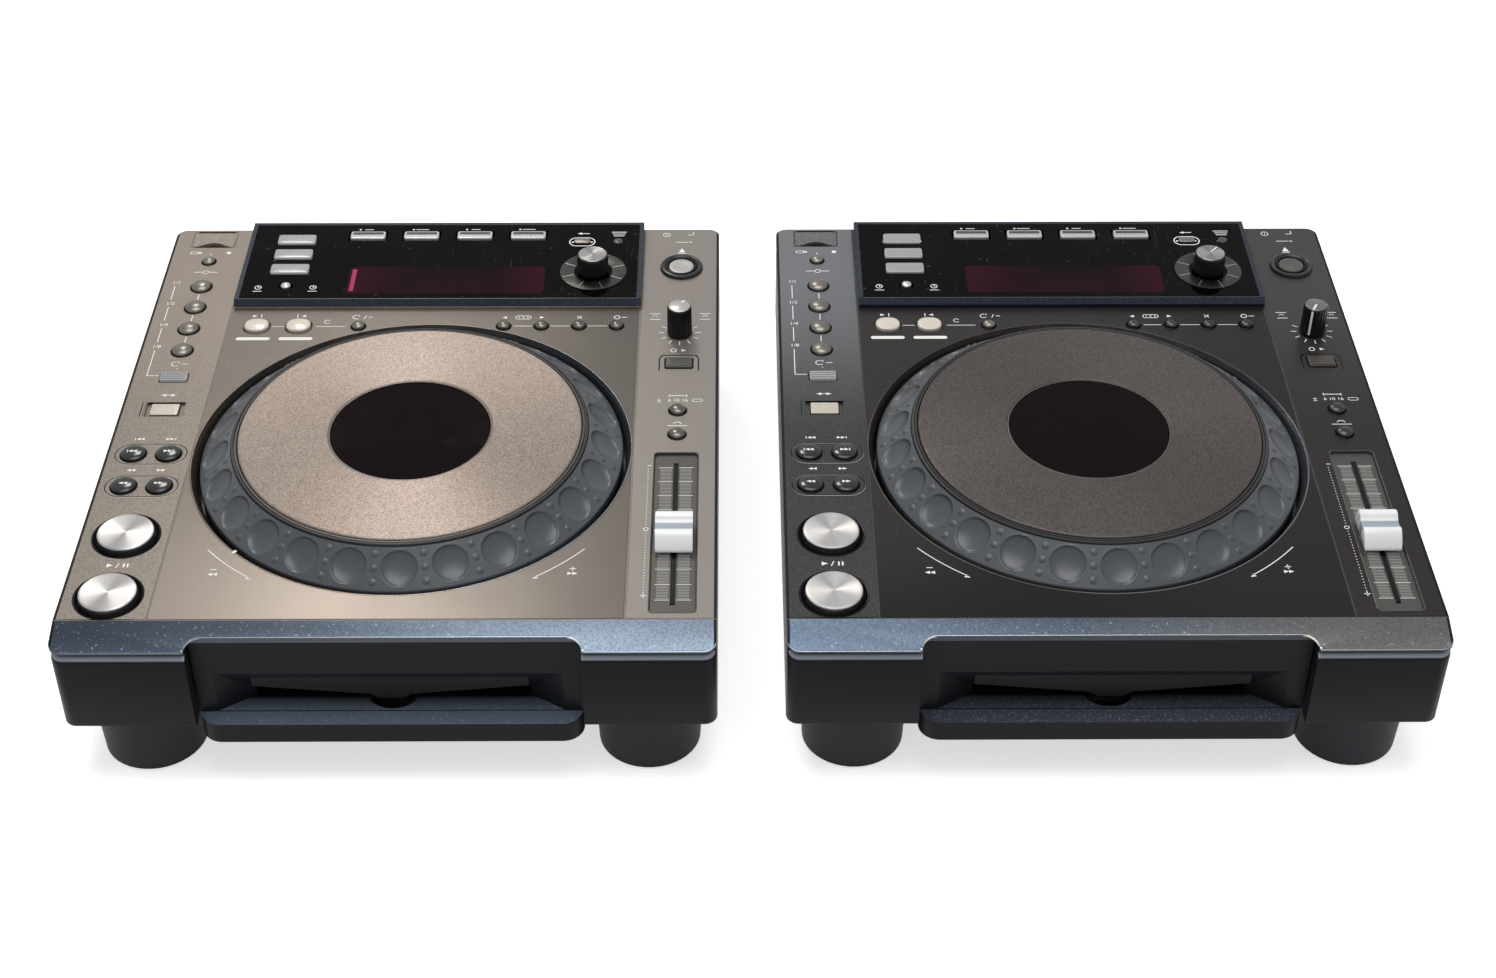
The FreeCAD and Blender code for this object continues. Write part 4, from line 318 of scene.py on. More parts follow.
def spun_metal(name, colour, x, y, roughness=0.28):
    """Turned face: fine rings about an axis, with light and dark fans of reflection painted into its colour,
    besides its real anisotropic reflection.
    """
    paint = Paint(name, roughness, 1.0)
    rings = paint.sine(paint.away(x, y), 13.0)
    turn = paint.around(x, y)
    # painted reflection: light and dark fans round the axis
    fans = paint.sine(turn, 2.0, 1.9)
    narrow = paint.sine(turn, 5.0, 0.6)
    wave = paint.plus(paint.times(fans, 0.7), paint.times(narrow, 0.3))
    paint.colour(paint.mix(paint.steps(wave, -0.9, 0.9), tint(colour, 0.62), tint(colour, 1.1)))
    paint.over(paint.steps(rings, -1.0, 1.0, 0.0, 0.12), tint(colour, 0.5))
    paint.set("Roughness", paint.grain(1500.0, 2.0, 0.3, 0.7, roughness * 0.85, roughness * 1.2))
    return paint.bump(rings, 0.00001, 0.4).brushed(x, y, 0.75)


def deck_paint(name, column, middle, strip, well):
    """The moulded deck under its painted sheets: dark glossy well wall, painted elsewhere."""
    paint = Paint(name, 0.4, 0.3, 0.35)
    fine = paint.noise(2400.0)
    side = paint.mix(paint.steps(paint.axis(1, STRIP_DEPTH - DEPTH / 2.0), -0.6, -0.4), strip, column)
    rings = ((0.0, JOG_Y, 80.0, WELL + 0.3), (RIGHT_X, EJECT_Y, 7.0, 11.7))
    reach = paint.most(paint.band(paint.away(centre + x, y), low, high, 0.1)
                       for centre in PLAYER_X.values() for x, y, low, high in rings)
    paint.colour(paint.mix(reach, side, well))
    paint.over(paint.steps(fine, 0.3, 0.7, 0.0, 0.3), tint(middle, 0.7))
    paint.set("Roughness", paint.math("SUBTRACT", 0.42, paint.times(reach, 0.27)))
    return paint.bump(fine, 0.00001)


def glass_paint(name):
    """Black gloss sheet: dark burgundy round the jog windows, with faint smears."""
    paint = Paint(name, 0.06, 0.0, 0.03)
    smear = paint.grain(35.0, 4.0, 0.45, 0.7)
    paint.colour(paint.mix(smear, (0.0009, 0.0008, 0.0010), (0.0032, 0.0024, 0.0030)))
    dust = paint.grain(420.0, 1.0, 0.74, 0.77)
    paint.over(paint.times(dust, 0.35), (0.12, 0.12, 0.12))
    paint.over(paint.scratches(0.30, 1.1), (0.10, 0.10, 0.10))
    reach = paint.most(paint.steps(paint.away(x, JOG_Y), 39.0, 42.0, 1.0, 0.0) for x in PLAYER_X.values())
    paint.over(paint.times(reach, 0.8), (0.0065, 0.0018, 0.0028))
    return paint.set("Roughness", paint.steps(smear, 0.0, 1.0, 0.03, 0.09))


def bezel_paint(name):
    """Black moulding whose upward faces carry the slate paint."""
    paint = Paint(name, 0.4, 0.2, 0.12)
    fine = paint.noise(900.0, 2.0)
    ground = paint.mix(paint.ramp(0, -60.0, 60.0), (0.100, 0.124, 0.168), (0.052, 0.063, 0.082))
    slate = paint.mix(paint.steps(fine, 0.58, 0.68, 0.0, 0.6), ground, (0.20, 0.23, 0.29))
    up = paint.steps(paint.facing(2), 0.80, 0.95)
    shelf = paint.times(up, paint.ramp(2, 36.5, 36.9))
    low = paint.ramp(2, 39.0, 39.15, 1.0, 0.0)
    return paint.colour(paint.mix(paint.times(shelf, low), BLACK, slate)).bump(fine, 0.00002)


def jack_paint(name):
    """Black flanges and inlet; each signal socket has a bright sleeve round a white or red insert."""
    paint = satin(name, (0.014, 0.014, 0.015), 0.3, 0.0, 900.0, 0.00001, 0.1, 0.3)
    first = paint.ramp(0, -1.0, 1.0, PLAYER_X["left"] - 135.0, PLAYER_X["right"] - 135.0)
    along = paint.math("SUBTRACT", paint.axis(0), first)
    across = paint.math("PINGPONG", along, JACK_PITCH / 2.0)
    odd = paint.steps(paint.math("PINGPONG", along, JACK_PITCH), JACK_PITCH * 0.4, JACK_PITCH * 0.6)
    height = paint.axis(2, 60.0)
    reach = paint.math("SQRT", paint.plus(paint.times(across, across), paint.times(height, height)))
    sockets = paint.steps(along, 4.2 * JACK_PITCH, 4.3 * JACK_PITCH, 1.0, 0.0)
    sleeve = paint.times(paint.band(reach, 3.4, 4.65, 0.05), sockets)
    insert = paint.times(paint.band(reach, 1.72, 3.4, 0.05), sockets)
    paint.over(insert, paint.mix(odd, (0.42, 0.41, 0.39), (0.30, 0.012, 0.012)))
    paint.over(sleeve, (0.55, 0.54, 0.52))
    return paint.set("Metallic", paint.times(sleeve, 0.95))


def case_paint(name):
    """Satin black moulding, with a painted highlight along its rounded top edge at the front."""
    paint = satin(name, BLACK, 0.40, 0.0, 2400.0, 0.00002, 0.1, 0.08)
    # edge times front: where the painted highlight lies, on faces turned half upwards within 5 mm of the
    # front
    edge = paint.band(paint.facing(2), 0.45, 0.85, 0.12)
    front = paint.steps(paint.axis(1, 5.0 - DEPTH / 2.0), -0.5, 0.5, 1.0, 0.0)
    return paint.over(paint.times(edge, front), (0.36, 0.40, 0.47))


def dark_edge(paint):
    """Black along the outer long edges of the deck sheets, where they come within 1.3 mm of the case's side.
    """
    reach = paint.math("ABSOLUTE", paint.axis(0))
    return paint.over(paint.steps(reach, HALF_WIDTH - 1.6, HALF_WIDTH - 1.3), (0.004, 0.004, 0.005))


def strip_paint(name, *tones):
    """Metallic paint of the sloping strip, with coarse flecks; its three tones from left to right are a
    painted reflection.
    """
    paint = metallic_paint(name, tones[1], FLECK_BLUE, 0.34, 0.05, 0.15)
    place = paint.wavy(0, 14.0, 3.0, 60.0)
    # painted reflection: the tone shifts from left to right along the strip
    paint.over(paint.steps(place, -110.0, 40.0, 0.85, 0.0), tones[0])
    paint.over(paint.steps(place, 10.0, 130.0, 0.0, 0.85), tones[2])
    paint.over(paint.grain(800.0, 3.0, 0.44, 0.60, 0.0, 0.30), tint(tones[1], 0.45))
    paint.over(paint.grain(620.0, 2.0, 0.64, 0.74, 0.0, 0.38), tint(FLECK_BLUE, 1.9))
    return dark_edge(paint)


def column_paint(name, fleck, left, rear, right):
    """Grainy deck paint of the side columns; its tone drifts to the rear and to the right column, a painted
    reflection.
    """
    paint = metallic_paint(name, left, fleck, 0.40, 0.04)
    # painted reflection: tones laid towards the rear and towards the right column
    paint.over(paint.ramp(1, -30.0, 130.0, 0.0, 0.8), rear)
    paint.over(paint.ramp(0, -90.0, 90.0, 0.0, 0.75), right)
    return dark_edge(paint)


def middle_paint(name, fleck, left, right, front):
    """Smoother deck paint of the middle sheet, with slow clouds of tone; painted reflection sets its tone at
    the front and towards the right.
    """
    paint = metallic_paint(name, left, fleck, 0.30, 0.012, 0.14, 0.45, 0.05)
    # painted reflection: a tone towards the front, then a tone towards the right
    paint.over(paint.steps(paint.wavy(1, 9.0, 2.0, 60.0), -130.0, -30.0, 0.85, 0.0), front)
    return paint.over(paint.steps(paint.wavy(0, 11.0, 4.0, 110.0), 30.0, 170.0, 0.0, 0.85), right)


def edge_paint(name, left, right):
    """Polished metallic finish along the lower edge of the strip: its bright tones are a painted highlight,
    and their drift from left to right a painted reflection.
    """
    paint = metallic_paint(name, left, (0.6, 0.62, 0.65), 0.3, 0.05, 0.3, 0.8)
    # painted reflection: the tone drifts from left to right
    return paint.over(paint.ramp(0, -130.0, 60.0, 0.0, 0.9), right)


def well_paint(name):
    """Gloss of the sloping lip, with painted reflection in its colour: bronze at its left, blue-grey at its
    right, darker at the rear.
    """
    paint = metallic_paint(name, (0.150, 0.122, 0.100), (0.3, 0.28, 0.26), 0.18, 0.01, 0.35, 0.8, 0.05)
    # painted reflection: bronze turning blue-grey to the right, and darker to the rear
    paint.over(paint.ramp(0, -60.0, 90.0), (0.140, 0.150, 0.170))
    return paint.over(paint.ramp(1, -50.0, 50.0, 0.0, 0.7), (0.028, 0.027, 0.027))


def fader_paint(name):
    """Silver white plastic with a blue-grey band along its hollow."""
    paint = Paint(name, 0.25, 0.0, 0.5)
    hollow = paint.band(paint.axis(1, 76.0 - DEPTH / 2.0), -3.2, 1.6, 0.5)
    paint.colour(paint.mix(paint.times(hollow, 0.85), (0.80, 0.81, 0.82), (0.20, 0.25, 0.33)))
    paint.over(paint.grain(160.0, 4.0, 0.5, 0.75, 0.0, 0.12), (0.35, 0.35, 0.35))
    return paint.bump(paint.noise(900.0), 0.00001)


def lens_paint(name, colour, rim):
    """A translucent key: a clear sheet over a colour that deepens towards its rim."""
    paint = satin(name, colour, 0.3, 0.0, 900.0, 0.00001, 0.1, 0.5, 0.4)
    return paint.colour(paint.mix(paint.steps(paint.facing(2), 0.55, 0.98), rim, paint.base()))


def lcd_paint(name):
    """The dark burgundy field of the display, with a faint grid of dots."""
    paint = Paint(name, 0.08, 0.0, 0.03)
    rows = paint.sine(paint.axis(1), 7.0)
    grid = paint.steps(paint.times(rows, paint.sine(paint.axis(0), 7.0)), -0.2, 0.6)
    glow = paint.grain(22.0, 3.0, 0.35, 0.7)
    paint.colour(paint.mix(glow, (0.0045, 0.0012, 0.0022), (0.014, 0.0022, 0.0050)))
    ends = paint.steps(paint.math("ABSOLUTE", paint.axis(0, 4.0)), 22.0, 58.0, 0.0, 0.5)
    return paint.over(ends, (0.045, 0.004, 0.016)).over(paint.times(grid, 0.15), (0.05, 0.007, 0.017))


# For each kind of paint, the materials that it makes and the values of each.
RECIPES = (
    (satin, {
        "hub_plastic": ((0.02, 0.02, 0.02),),
        "steel_sheet": ((0.45, 0.45, 0.44), 0.35, 1.0, 300.0),
        "motor_steel": ((0.40, 0.40, 0.40), 0.3, 1.0, 300.0),
        "board_green": ((0.02, 0.10, 0.04), 0.4),
        "fader_plate_grey": ((0.075, 0.072, 0.068), 0.38, 0.4, 2400.0, 0.00002, 0.1, 0.15),
        "foot_rubber": ((0.024, 0.026, 0.030), 0.55, 0.0, 1500.0, 0.00004, 0.1, 0.14),
        "screw_steel": ((0.25, 0.25, 0.25), 0.35, 1.0),
        "ring_slate": ((0.056, 0.063, 0.072), 0.33, 0.0, 1900.0, 0.00002, 0.1, 0.42),
        "knob_black": ((0.009, 0.009, 0.010), 0.3, 0.0, 1600.0, 0.00002, 0.1, 0.22),
        "spun_aluminium": ((0.7, 0.69, 0.67), 0.25, 1.0),
        "key_dark": ((0.006, 0.006, 0.007), 0.16, 0.0, 900.0, 0.000005, 0.1, 0.4),
        "key_pewter": ((0.155, 0.145, 0.130), 0.30, 0.9, 900.0, 0.000005),
        "turntable_black": ((0.02, 0.02, 0.02),),
        "sled_metal": ((0.45, 0.45, 0.45), 0.4, 1.0),
        "roller_rubber": ((0.03, 0.03, 0.03), 0.7),
        "groove_black": ((0.003, 0.003, 0.004), 0.25, 0.0, 900.0, 0.000005, 0.1, 0.12),
        "rim_dark": ((0.030, 0.029, 0.030), 0.3, 0.2, 2600.0, 0.000001, 0.1, 0.25, 0.0, 0.1),
        "window_hairline": ((0.12, 0.11, 0.105), 0.3, 0.8),
        "legend_white": ((0.80, 0.80, 0.79), 0.5, 0.0, 700.0, 0.000002, 0.06, 0.2, 0.0, 0.3, 0.0),
        "rim_bright": ((0.45, 0.45, 0.44), 0.25, 0.9),
        "display_strip": ((0.35, 0.005, 0.10), 0.1, 0.0, 600.0, 0.000001, 0.2),
        "menu_key_dark": ((0.05, 0.05, 0.053), 0.25, 0.2, 900.0, 0.00001, 0.1, 0.3),
        "menu_key_silver": ((0.40, 0.41, 0.42), 0.3, 0.3, 900.0, 0.00001, 0.1, 0.3),
        "jog_mode_grey": ((0.066, 0.066, 0.063), 0.35, 0.2, 1500.0),
        "jog_mode_brown": ((0.060, 0.050, 0.043), 0.35, 0.2, 1500.0),
        "pewter_shade": ((0.115, 0.107, 0.096), 0.24, 0.9, 900.0, 0.000005),
        # the right player's domes: a darker copy of the pewter, painted shade
        "pewter_dark": ((0.050, 0.048, 0.045), 0.22, 0.9, 900.0, 0.000005),
        "button_side": ((0.10, 0.10, 0.102), 0.3, 0.8, 900.0, 0.000005),
        "eject_light": ((0.36, 0.35, 0.335), 0.3, 0.5),
        "eject_dark": ((0.085, 0.083, 0.077), 0.3, 0.5),
        "eject_ring_dark": ((0.022, 0.023, 0.025), 0.2, 0.3, 900.0, 0.000005, 0.1, 0.3),
        "knob_top_light": ((0.42, 0.41, 0.40), 0.3, 0.6),
        "knob_top_dark": ((0.15, 0.15, 0.155), 0.3, 0.6),
        "dial_mark": ((0.30, 0.29, 0.27), 0.3, 0.8),
        "scale_grey": ((0.38, 0.375, 0.36), 0.4, 0.0, 900.0, 0.000001),
        "trough_rim": ((0.020, 0.020, 0.021), 0.3, 0.0, 900.0, 0.00001, 0.1, 0.4),
        # a painted highlight along the lower edge of each recess round the search keys
        "recess_light": ((0.30, 0.29, 0.275), 0.35, 0.5),
    }),
    (metallic_paint, {
        "housing_slate": ((0.014, 0.019, 0.030), (0.09, 0.11, 0.15), 0.3),
        "plate_champagne": ((0.215, 0.178, 0.155), (0.55, 0.47, 0.41), 0.42, 0.05, 0.08, 0.75),
        "plate_dark": ((0.070, 0.060, 0.057), (0.2, 0.18, 0.17), 0.42, 0.03, 0.08, 0.6),
        "lid_warm": ((0.22, 0.195, 0.17), (0.4, 0.37, 0.33), 0.35),
        "lid_cool": ((0.13, 0.125, 0.12), (0.3, 0.3, 0.3), 0.3),
        "display_trim": ((0.42, 0.37, 0.32), (0.7, 0.66, 0.6), 0.3, 0.05, 0.2, 0.8),
    }),
    # turned faces carry painted fans of reflection in their colour
    (spun_metal, {
        "play_button_face": ((0.44, 0.435, 0.435), LEFT_X, PLAY_YS[0], 0.40),
        "cue_button_face": ((0.44, 0.435, 0.435), LEFT_X, PLAY_YS[1], 0.40),
        "knob_top_spun": ((0.30, 0.295, 0.29), *BROWSE, 0.28),
        "dial_ring": ((0.050, 0.049, 0.047), *BROWSE, 0.3),
    }),
    (deck_paint, {
        "deck_warm": ((0.15, 0.125, 0.105), (0.2, 0.17, 0.15), (0.05, 0.065, 0.09), (0.055, 0.045, 0.038)),
        "deck_charcoal": ((0.036, 0.036, 0.04), (0.03, 0.03, 0.031), (0.045, 0.055, 0.075),
                          (0.02, 0.023, 0.03)),
    }),
    # the rear and right tones of the columns are painted reflection
    (column_paint, {
        "column_warm": (FLECK_WARM, (0.195, 0.172, 0.150), (0.205, 0.175, 0.152), (0.192, 0.180, 0.168)),
        "column_dark": (FLECK_DIM, (0.030, 0.0300, 0.0325), (0.165, 0.170, 0.185), (0.017, 0.0135, 0.011)),
    }),
    # the right and front tones of the middle sheets are painted reflection
    (middle_paint, {
        "middle_warm": (FLECK_WARM, (0.138, 0.122, 0.108), (0.075, 0.068, 0.062), (0.185, 0.162, 0.142)),
        "middle_dark": (FLECK_DIM, (0.024, 0.022, 0.021), (0.014, 0.012, 0.011), (0.0055, 0.0055, 0.007)),
    }),
    # the strip's three tones from left to right are painted reflection
    (strip_paint, {
        "strip_blue": ((0.016, 0.022, 0.034), (0.086, 0.112, 0.152), (0.205, 0.258, 0.325)),
        "strip_slate": ((0.120, 0.165, 0.230), (0.065, 0.085, 0.115), (0.125, 0.120, 0.113)),
    }),
    # the bright tones of the strip edges are a painted highlight, drifting from left to right as painted
    # reflection
    (edge_paint, {
        "strip_edge_blue": ((0.10, 0.12, 0.16), (0.68, 0.76, 0.86)),
        "strip_edge_warm": ((0.60, 0.64, 0.69), (0.60, 0.54, 0.46)),
    }),
    (lens_paint, {
        "key_cream": ((0.50, 0.46, 0.38), (0.22, 0.2, 0.17)),
        "key_grey": ((0.27, 0.27, 0.28), (0.5, 0.5, 0.51)),
        "key_ivory": ((0.62, 0.57, 0.49), (0.36, 0.32, 0.27)),
    }),
    # case_black carries a painted highlight along its rounded top front edge
    (case_paint, {"case_black": ()}),
    (bezel_paint, {"bezel_black": ()}),
    (glass_paint, {"display_glass": ()}),
    (jack_paint, {"jack_metal": ()}),
    (fader_paint, {"fader_silver": ()}),
    (lcd_paint, {"display_field": ()}),
    # the well lip's tones, bronze to blue-grey and darker at the rear, are painted reflection
    (well_paint, {"well_gloss": ()}),
)
paints = {name: make(name, *values) for make, table in RECIPES for name, values in table.items()}
paints["plate_champagne"].brushed(0.0, JOG_Y, 0.85)
paints["plate_dark"].brushed(0.0, JOG_Y, 0.6)


def dress_frame():
    slots = {row["node"]: row["material_slot"] for row in frame["record"]["subparts"]}
    for name, item in frame["nodes"].items():
        item.data.materials.clear()
        item.data.materials.append(paints[slots[name]].material)


dress_frame()

# ---------------------------------------------------------------- mesh tools
def round_points(x, y, radius, count=48, start=0.0, sweep=math.tau):
    """Points round a circle; a full turn leaves out the last one."""
    last = count if sweep >= math.tau else count - 1
    return [polar(x, y, radius, start + sweep * i / last) for i in range(count)]


def box_points(x, y, width, depth, corner=1.0, steps=5):
    """Points round a rectangle with rounded corners, counted from its middle."""
    corner = max(min(corner, width / 2.0, depth / 2.0), 0.01)
    points = []
    for turn, (sx, sy) in enumerate(((1, 1), (-1, 1), (-1, -1), (1, -1))):
        centre = (x + sx * (width / 2.0 - corner), y + sy * (depth / 2.0 - corner))
        start = turn * math.pi / 2.0
        points += [polar(*centre, corner, start + math.pi / 2.0 * i / steps) for i in range(steps + 1)]
    return points


def placed(x, y, points, turn):
    """Points turned about their origin and moved to a place."""
    cosine = math.cos(turn)
    sine = math.sin(turn)
    return [(x + (a * cosine - b * sine), y + (a * sine + b * cosine)) for a, b in points]


def ring_of(shape, points, height):
    return [shape.verts.new(spot(x, y, height)) for x, y in points]


def bridge(shape, low, high, slot=0):
    """Faces between two loops; a loop of one point is a pole."""
    count = max(len(low), len(high))
    for i in range(count):
        j = (i + 1) % count
        corners = (low[i % len(low)], low[j % len(low)], high[j % len(high)], high[i % len(high)])
        unique = list(dict.fromkeys(corners))
        if len(unique) > 2:
            shape.faces.new(unique).material_index = slot


def skin(shape, loops, slot=0, top=False, bottom=False):
    """Faces from the first loop to the last, which may be closed by a top and a bottom."""
    for low, high in zip(loops, loops[1:]):
        bridge(shape, low, high, slot)
    if top:
        shape.faces.new(loops[-1]).material_index = slot
    if bottom:
        shape.faces.new(list(reversed(loops[0]))).material_index = slot


def turned(shape, x, y, profile, count=64, slot=0, base=0.0, ribs=0, rib_depth=0.0):
    """A shape turned about an upright line, from (radius, height) pairs; ribs mark its widest part."""
    widest = max(radius for radius, height in profile)
    loops = []
    for radius, height in profile:
        points = [(x, y)]
        if radius > 0.0:
            deep = rib_depth if radius > widest * 0.94 else 0.0
            turns = [math.tau * i / count for i in range(count)]
            points = [polar(x, y, radius - deep * (0.5 + 0.5 * math.cos(ribs * turn)), turn)
                      for turn in turns]
        loops.append(ring_of(shape, points, base + height))
    skin(shape, loops, slot)


def pad(shape, x, y, width, depth, low, top, corner=1.0, edge=0.5, crown=0.0, slot=0, steps=4):
    """A key cap: a rounded rectangle with a rounded top edge and a slight crown."""
    layers = [ring_of(shape, box_points(x, y, width, depth, corner), low)]
    for i in range(steps + 1):
        angle = math.pi / 2.0 * i / steps
        inset = edge * (1.0 - math.cos(angle))
        outline = box_points(x, y, width - 2.0 * inset, depth - 2.0 * inset, corner - inset)
        layers.append(ring_of(shape, outline, top - edge + edge * math.sin(angle)))
    for share in (0.7, 0.4, 0.12):
        sizes = (size * share for size in (width - 2.0 * edge, depth - 2.0 * edge, corner - edge))
        layers.append(ring_of(shape, box_points(x, y, *sizes), top + crown * (1.0 - share * share)))
    skin(shape, layers, slot, True, True)


def dome(shape, x, y, radius, low, shoulder, top, slot=0, count=40, steps=7):
    """A round key with upright sides and a domed top."""
    profile = [(0.0, low), (radius, low), (radius, shoulder)]
    for i in range(1, steps + 1):
        angle = math.pi / 2.0 * i / steps
        reach = radius * math.cos(angle) if i < steps else 0.0
        profile.append((reach, shoulder + (top - shoulder) * math.sin(angle)))
    turned(shape, x, y, profile, count, slot)


def extruded(shape, section, low_x, high_x, edge=0.0):
    """A section of (y, z) points drawn out along X, its ends drawn in by a small edge."""
    middle = (sum(p[0] for p in section) / len(section), sum(p[1] for p in section) / len(section))
    span = max(abs(p[0] - middle[0]) for p in section)
    small = edge * 0.3
    loops = []
    for x, inset in ((low_x, edge), (low_x + small, small), (low_x + edge, 0.0),
                     (high_x - edge, 0.0), (high_x - small, small), (high_x, edge)):
        share = 1.0 - inset / span
        loops.append([shape.verts.new(spot(x, middle[0] + (y - middle[0]) * share,
                                           middle[1] + (z - middle[1]) * share)) for y, z in section])
    skin(shape, loops)
    shape.faces.new(loops[0])
    shape.faces.new(list(reversed(loops[-1])))


def finished(mesh, finishes, sharp):
    """Smooth shading between sharp edges, and the mesh's materials."""
    for face in mesh.polygons:
        face.use_smooth = True
    mesh.set_sharp_from_angle(angle=math.radians(sharp))
    for name in finishes:
        mesh.materials.append(paints[name].material)
    return mesh


def make_mesh(name, shape, finishes=(), sharp=35.0):
    bmesh.ops.recalc_face_normals(shape, faces=shape.faces)
    mesh = bpy.data.meshes.new(name)
    shape.to_mesh(mesh)
    shape.free()
    return finished(mesh, finishes, sharp)


def build(*rows):
    """A new shape, from rows of a mesh tool and its values."""
    shape = bmesh.new()
    for tool, *values in rows:
        tool(shape, *values)
    return shape


def new_object(name, data):
    item = bpy.data.objects.new(name, data)
    bpy.context.scene.collection.objects.link(item)
    return item


def show(name, mesh, side, body, replaces=()):
    """Puts one player's piece in place and lets it ride on a body of the frame."""
    item = new_object(f"{side}_{name}", mesh)
    item.location.x = PLAYER_X[side] * MM
    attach(item, body)
    if replaces:
        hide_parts(*replaces)
    return item


def fixed(name, shape, slot, *finishes, sides=PLAYER_X):
    """A piece of the housing on both players, or on one."""
    mesh = make_mesh(name, shape, finishes)
    for side in sides:
        show(name, mesh, side, "housing")


def moving(name, shape, node, slot, *finishes, right=None, sharp=35.0):
    """A piece that moves, in the place of the CAD node that its body is named after.

    The right player's piece may have another finish.
    """
    mesh = make_mesh(name, shape, finishes or (slot,), sharp)
    for side in PLAYER_X:
        if right and side == "right":
            mesh = mesh.copy()
            mesh.materials[0] = paints[right].material
        body = f"{side}_{node}"
        show(name, mesh, side, body, (body,))


def sheet_mesh(name, outline, holes, low, top, edge, finish):
    """A flat sheet with holes, all its rims rounded: a filled curve made into a mesh."""
    curve = bpy.data.curves.new(name, "CURVE")
    curve.dimensions = "2D"
    curve.fill_mode = "BOTH"
    curve.extrude = (top - low) / 2.0 * MM - edge * MM
    curve.bevel_depth = edge * MM
    curve.bevel_resolution = 2
    curve.offset = -edge * MM
    for points in [outline, *holes]:
        spline = curve.splines.new("POLY")
        spline.points.add(len(points) - 1)
        for point, (x, y) in zip(spline.points, points):
            point.co = (x * MM, y * MM, 0.0, 1.0)
        spline.use_cyclic_u = True
    mesh = mesh_of_curve(curve)
    mesh.name = name
    mesh.transform(Matrix.Translation((0.0, -DEPTH / 2.0 * MM, (low + top) / 2.0 * MM)))
    mesh.materials.clear()
    return finished(mesh, [finish], 38.0)


def mesh_of_curve(curve):
    holder = bpy.data.objects.new("outline", curve)
    mesh = bpy.data.meshes.new_from_object(holder)
    bpy.data.objects.remove(holder)
    return mesh


# ---------------------------------------------------------------- jog wheel
RING_OUT = (104.9, 85.6)
RING_IN = (88.5, 98.9)
DRAW_IN = RING_OUT[0] - RING_IN[0]
RISE = RING_IN[1] - RING_OUT[1]
SLOPE = math.hypot(DRAW_IN, RISE)
DIMPLES = 25
DIMPLE_START = math.radians(-1.3)
DIMPLE_R = 96.5
DIMPLE_SIZE = 8.7
DIMPLE_DEPTH = 2.3
NUB_SIZE = 1.6
NUB_HEIGHT = 0.6
NUB_PLACES = (4.0, 10.8, 17.6)  # along the slope, from its outer edge
RIM = ((88.6, 98.0), (88.5, 98.6), (88.3, 98.2), (88.1, 99.6), (87.7, 100.0), (86.9, 100.1), (86.8, 98.9),
       (86.5, 98.9), (86.4, 100.1), (85.5, 100.1), (85.2, 99.4), (85.1, 96.0), (40.6, 96.0))
PLATE = ((40.5, 97.0), (40.5, 100.3), (40.7, 100.6), (41.1, 100.78), (41.6, 100.8), (60.0, 100.8),
         (83.6, 100.8), (84.2, 100.74), (84.6, 100.55), (84.85, 100.2), (84.9, 99.8), (84.9, 98.4))
WINDOW_RIM = ((39.85, 99.6), (39.85, 100.42), (40.1, 100.5), (40.4, 100.42), (40.4, 99.6))
LINER = ((WELL + 0.2, TOP - 0.1), (WELL + 0.1, TOP + 0.08), (WELL - 0.2, TOP + 0.12), (WELL - 0.5, TOP),
         (WELL - 1.4, 85.7), (WELL - 2.3, 84.2), (WELL - 2.9, 82.6), (WELL - 3.3, 80.5), (WELL - 3.4, 78.5))


def ring_relief(along, angle):
    """Height above the ring's slope at a place along it and an angle round it."""
    pitch = math.tau / DIMPLES
    turn = (angle - DIMPLE_START + pitch / 2.0) % pitch - pitch / 2.0
    radius = RING_OUT[0] - along / SLOPE * DRAW_IN
    gap = math.hypot(along - (RING_OUT[0] - DIMPLE_R) / DRAW_IN * SLOPE, turn * radius)
    height = 0.0
    if gap < DIMPLE_SIZE:
        height = -DIMPLE_DEPTH * (1.0 - (gap / DIMPLE_SIZE) ** 2) ** 0.55
    elif gap < DIMPLE_SIZE + 0.7:
        height = 0.14 * (1.0 - abs(gap - DIMPLE_SIZE - 0.35) / 0.35)
    side_turn = pitch / 2.0 - abs(turn)
    for place in NUB_PLACES:
        gap = math.hypot(along - place, side_turn * radius) / NUB_SIZE
        if gap < 1.0:
            height = NUB_HEIGHT * math.sqrt(1.0 - gap * gap)
        elif gap < 1.35:
            height = min(height, -0.12 * (1.0 - abs(gap - 1.17) / 0.18))
    return height


def ring_mesh():
    """The rubber slope of the jog wheel: finger dimples with rows of three small nubs between them."""
    shape = bmesh.new()
    around = DIMPLES * 56
    along_steps = 46
    skirt = ((104.0, 77.0), (105.0, 77.6), (105.0, 84.6))
    loops = [ring_of(shape, round_points(0.0, JOG_Y, radius, around), height) for radius, height in skirt]
    for step in range(along_steps + 1):
        along = SLOPE * step / along_steps
        base_r = RING_OUT[0] - along / SLOPE * DRAW_IN
        base_z = RING_OUT[1] + along / SLOPE * RISE
        loop = []
        for i in range(around):
            angle = math.tau * i / around
            lift = ring_relief(along, angle)
            x, y = polar(0.0, JOG_Y, base_r + lift * (RISE / SLOPE), angle)
            loop.append(shape.verts.new(spot(x, y, base_z + lift * (DRAW_IN / SLOPE))))
        loops.append(loop)
    skin(shape, loops)
    return make_mesh("ring_slope", shape, ["ring_slate"], 60.0)


def lathe(name, profile, finish, count=192):
    """A mesh turned about the jog wheel's axis."""
    return make_mesh(name, build((turned, 0.0, JOG_Y, profile, count)), [finish])


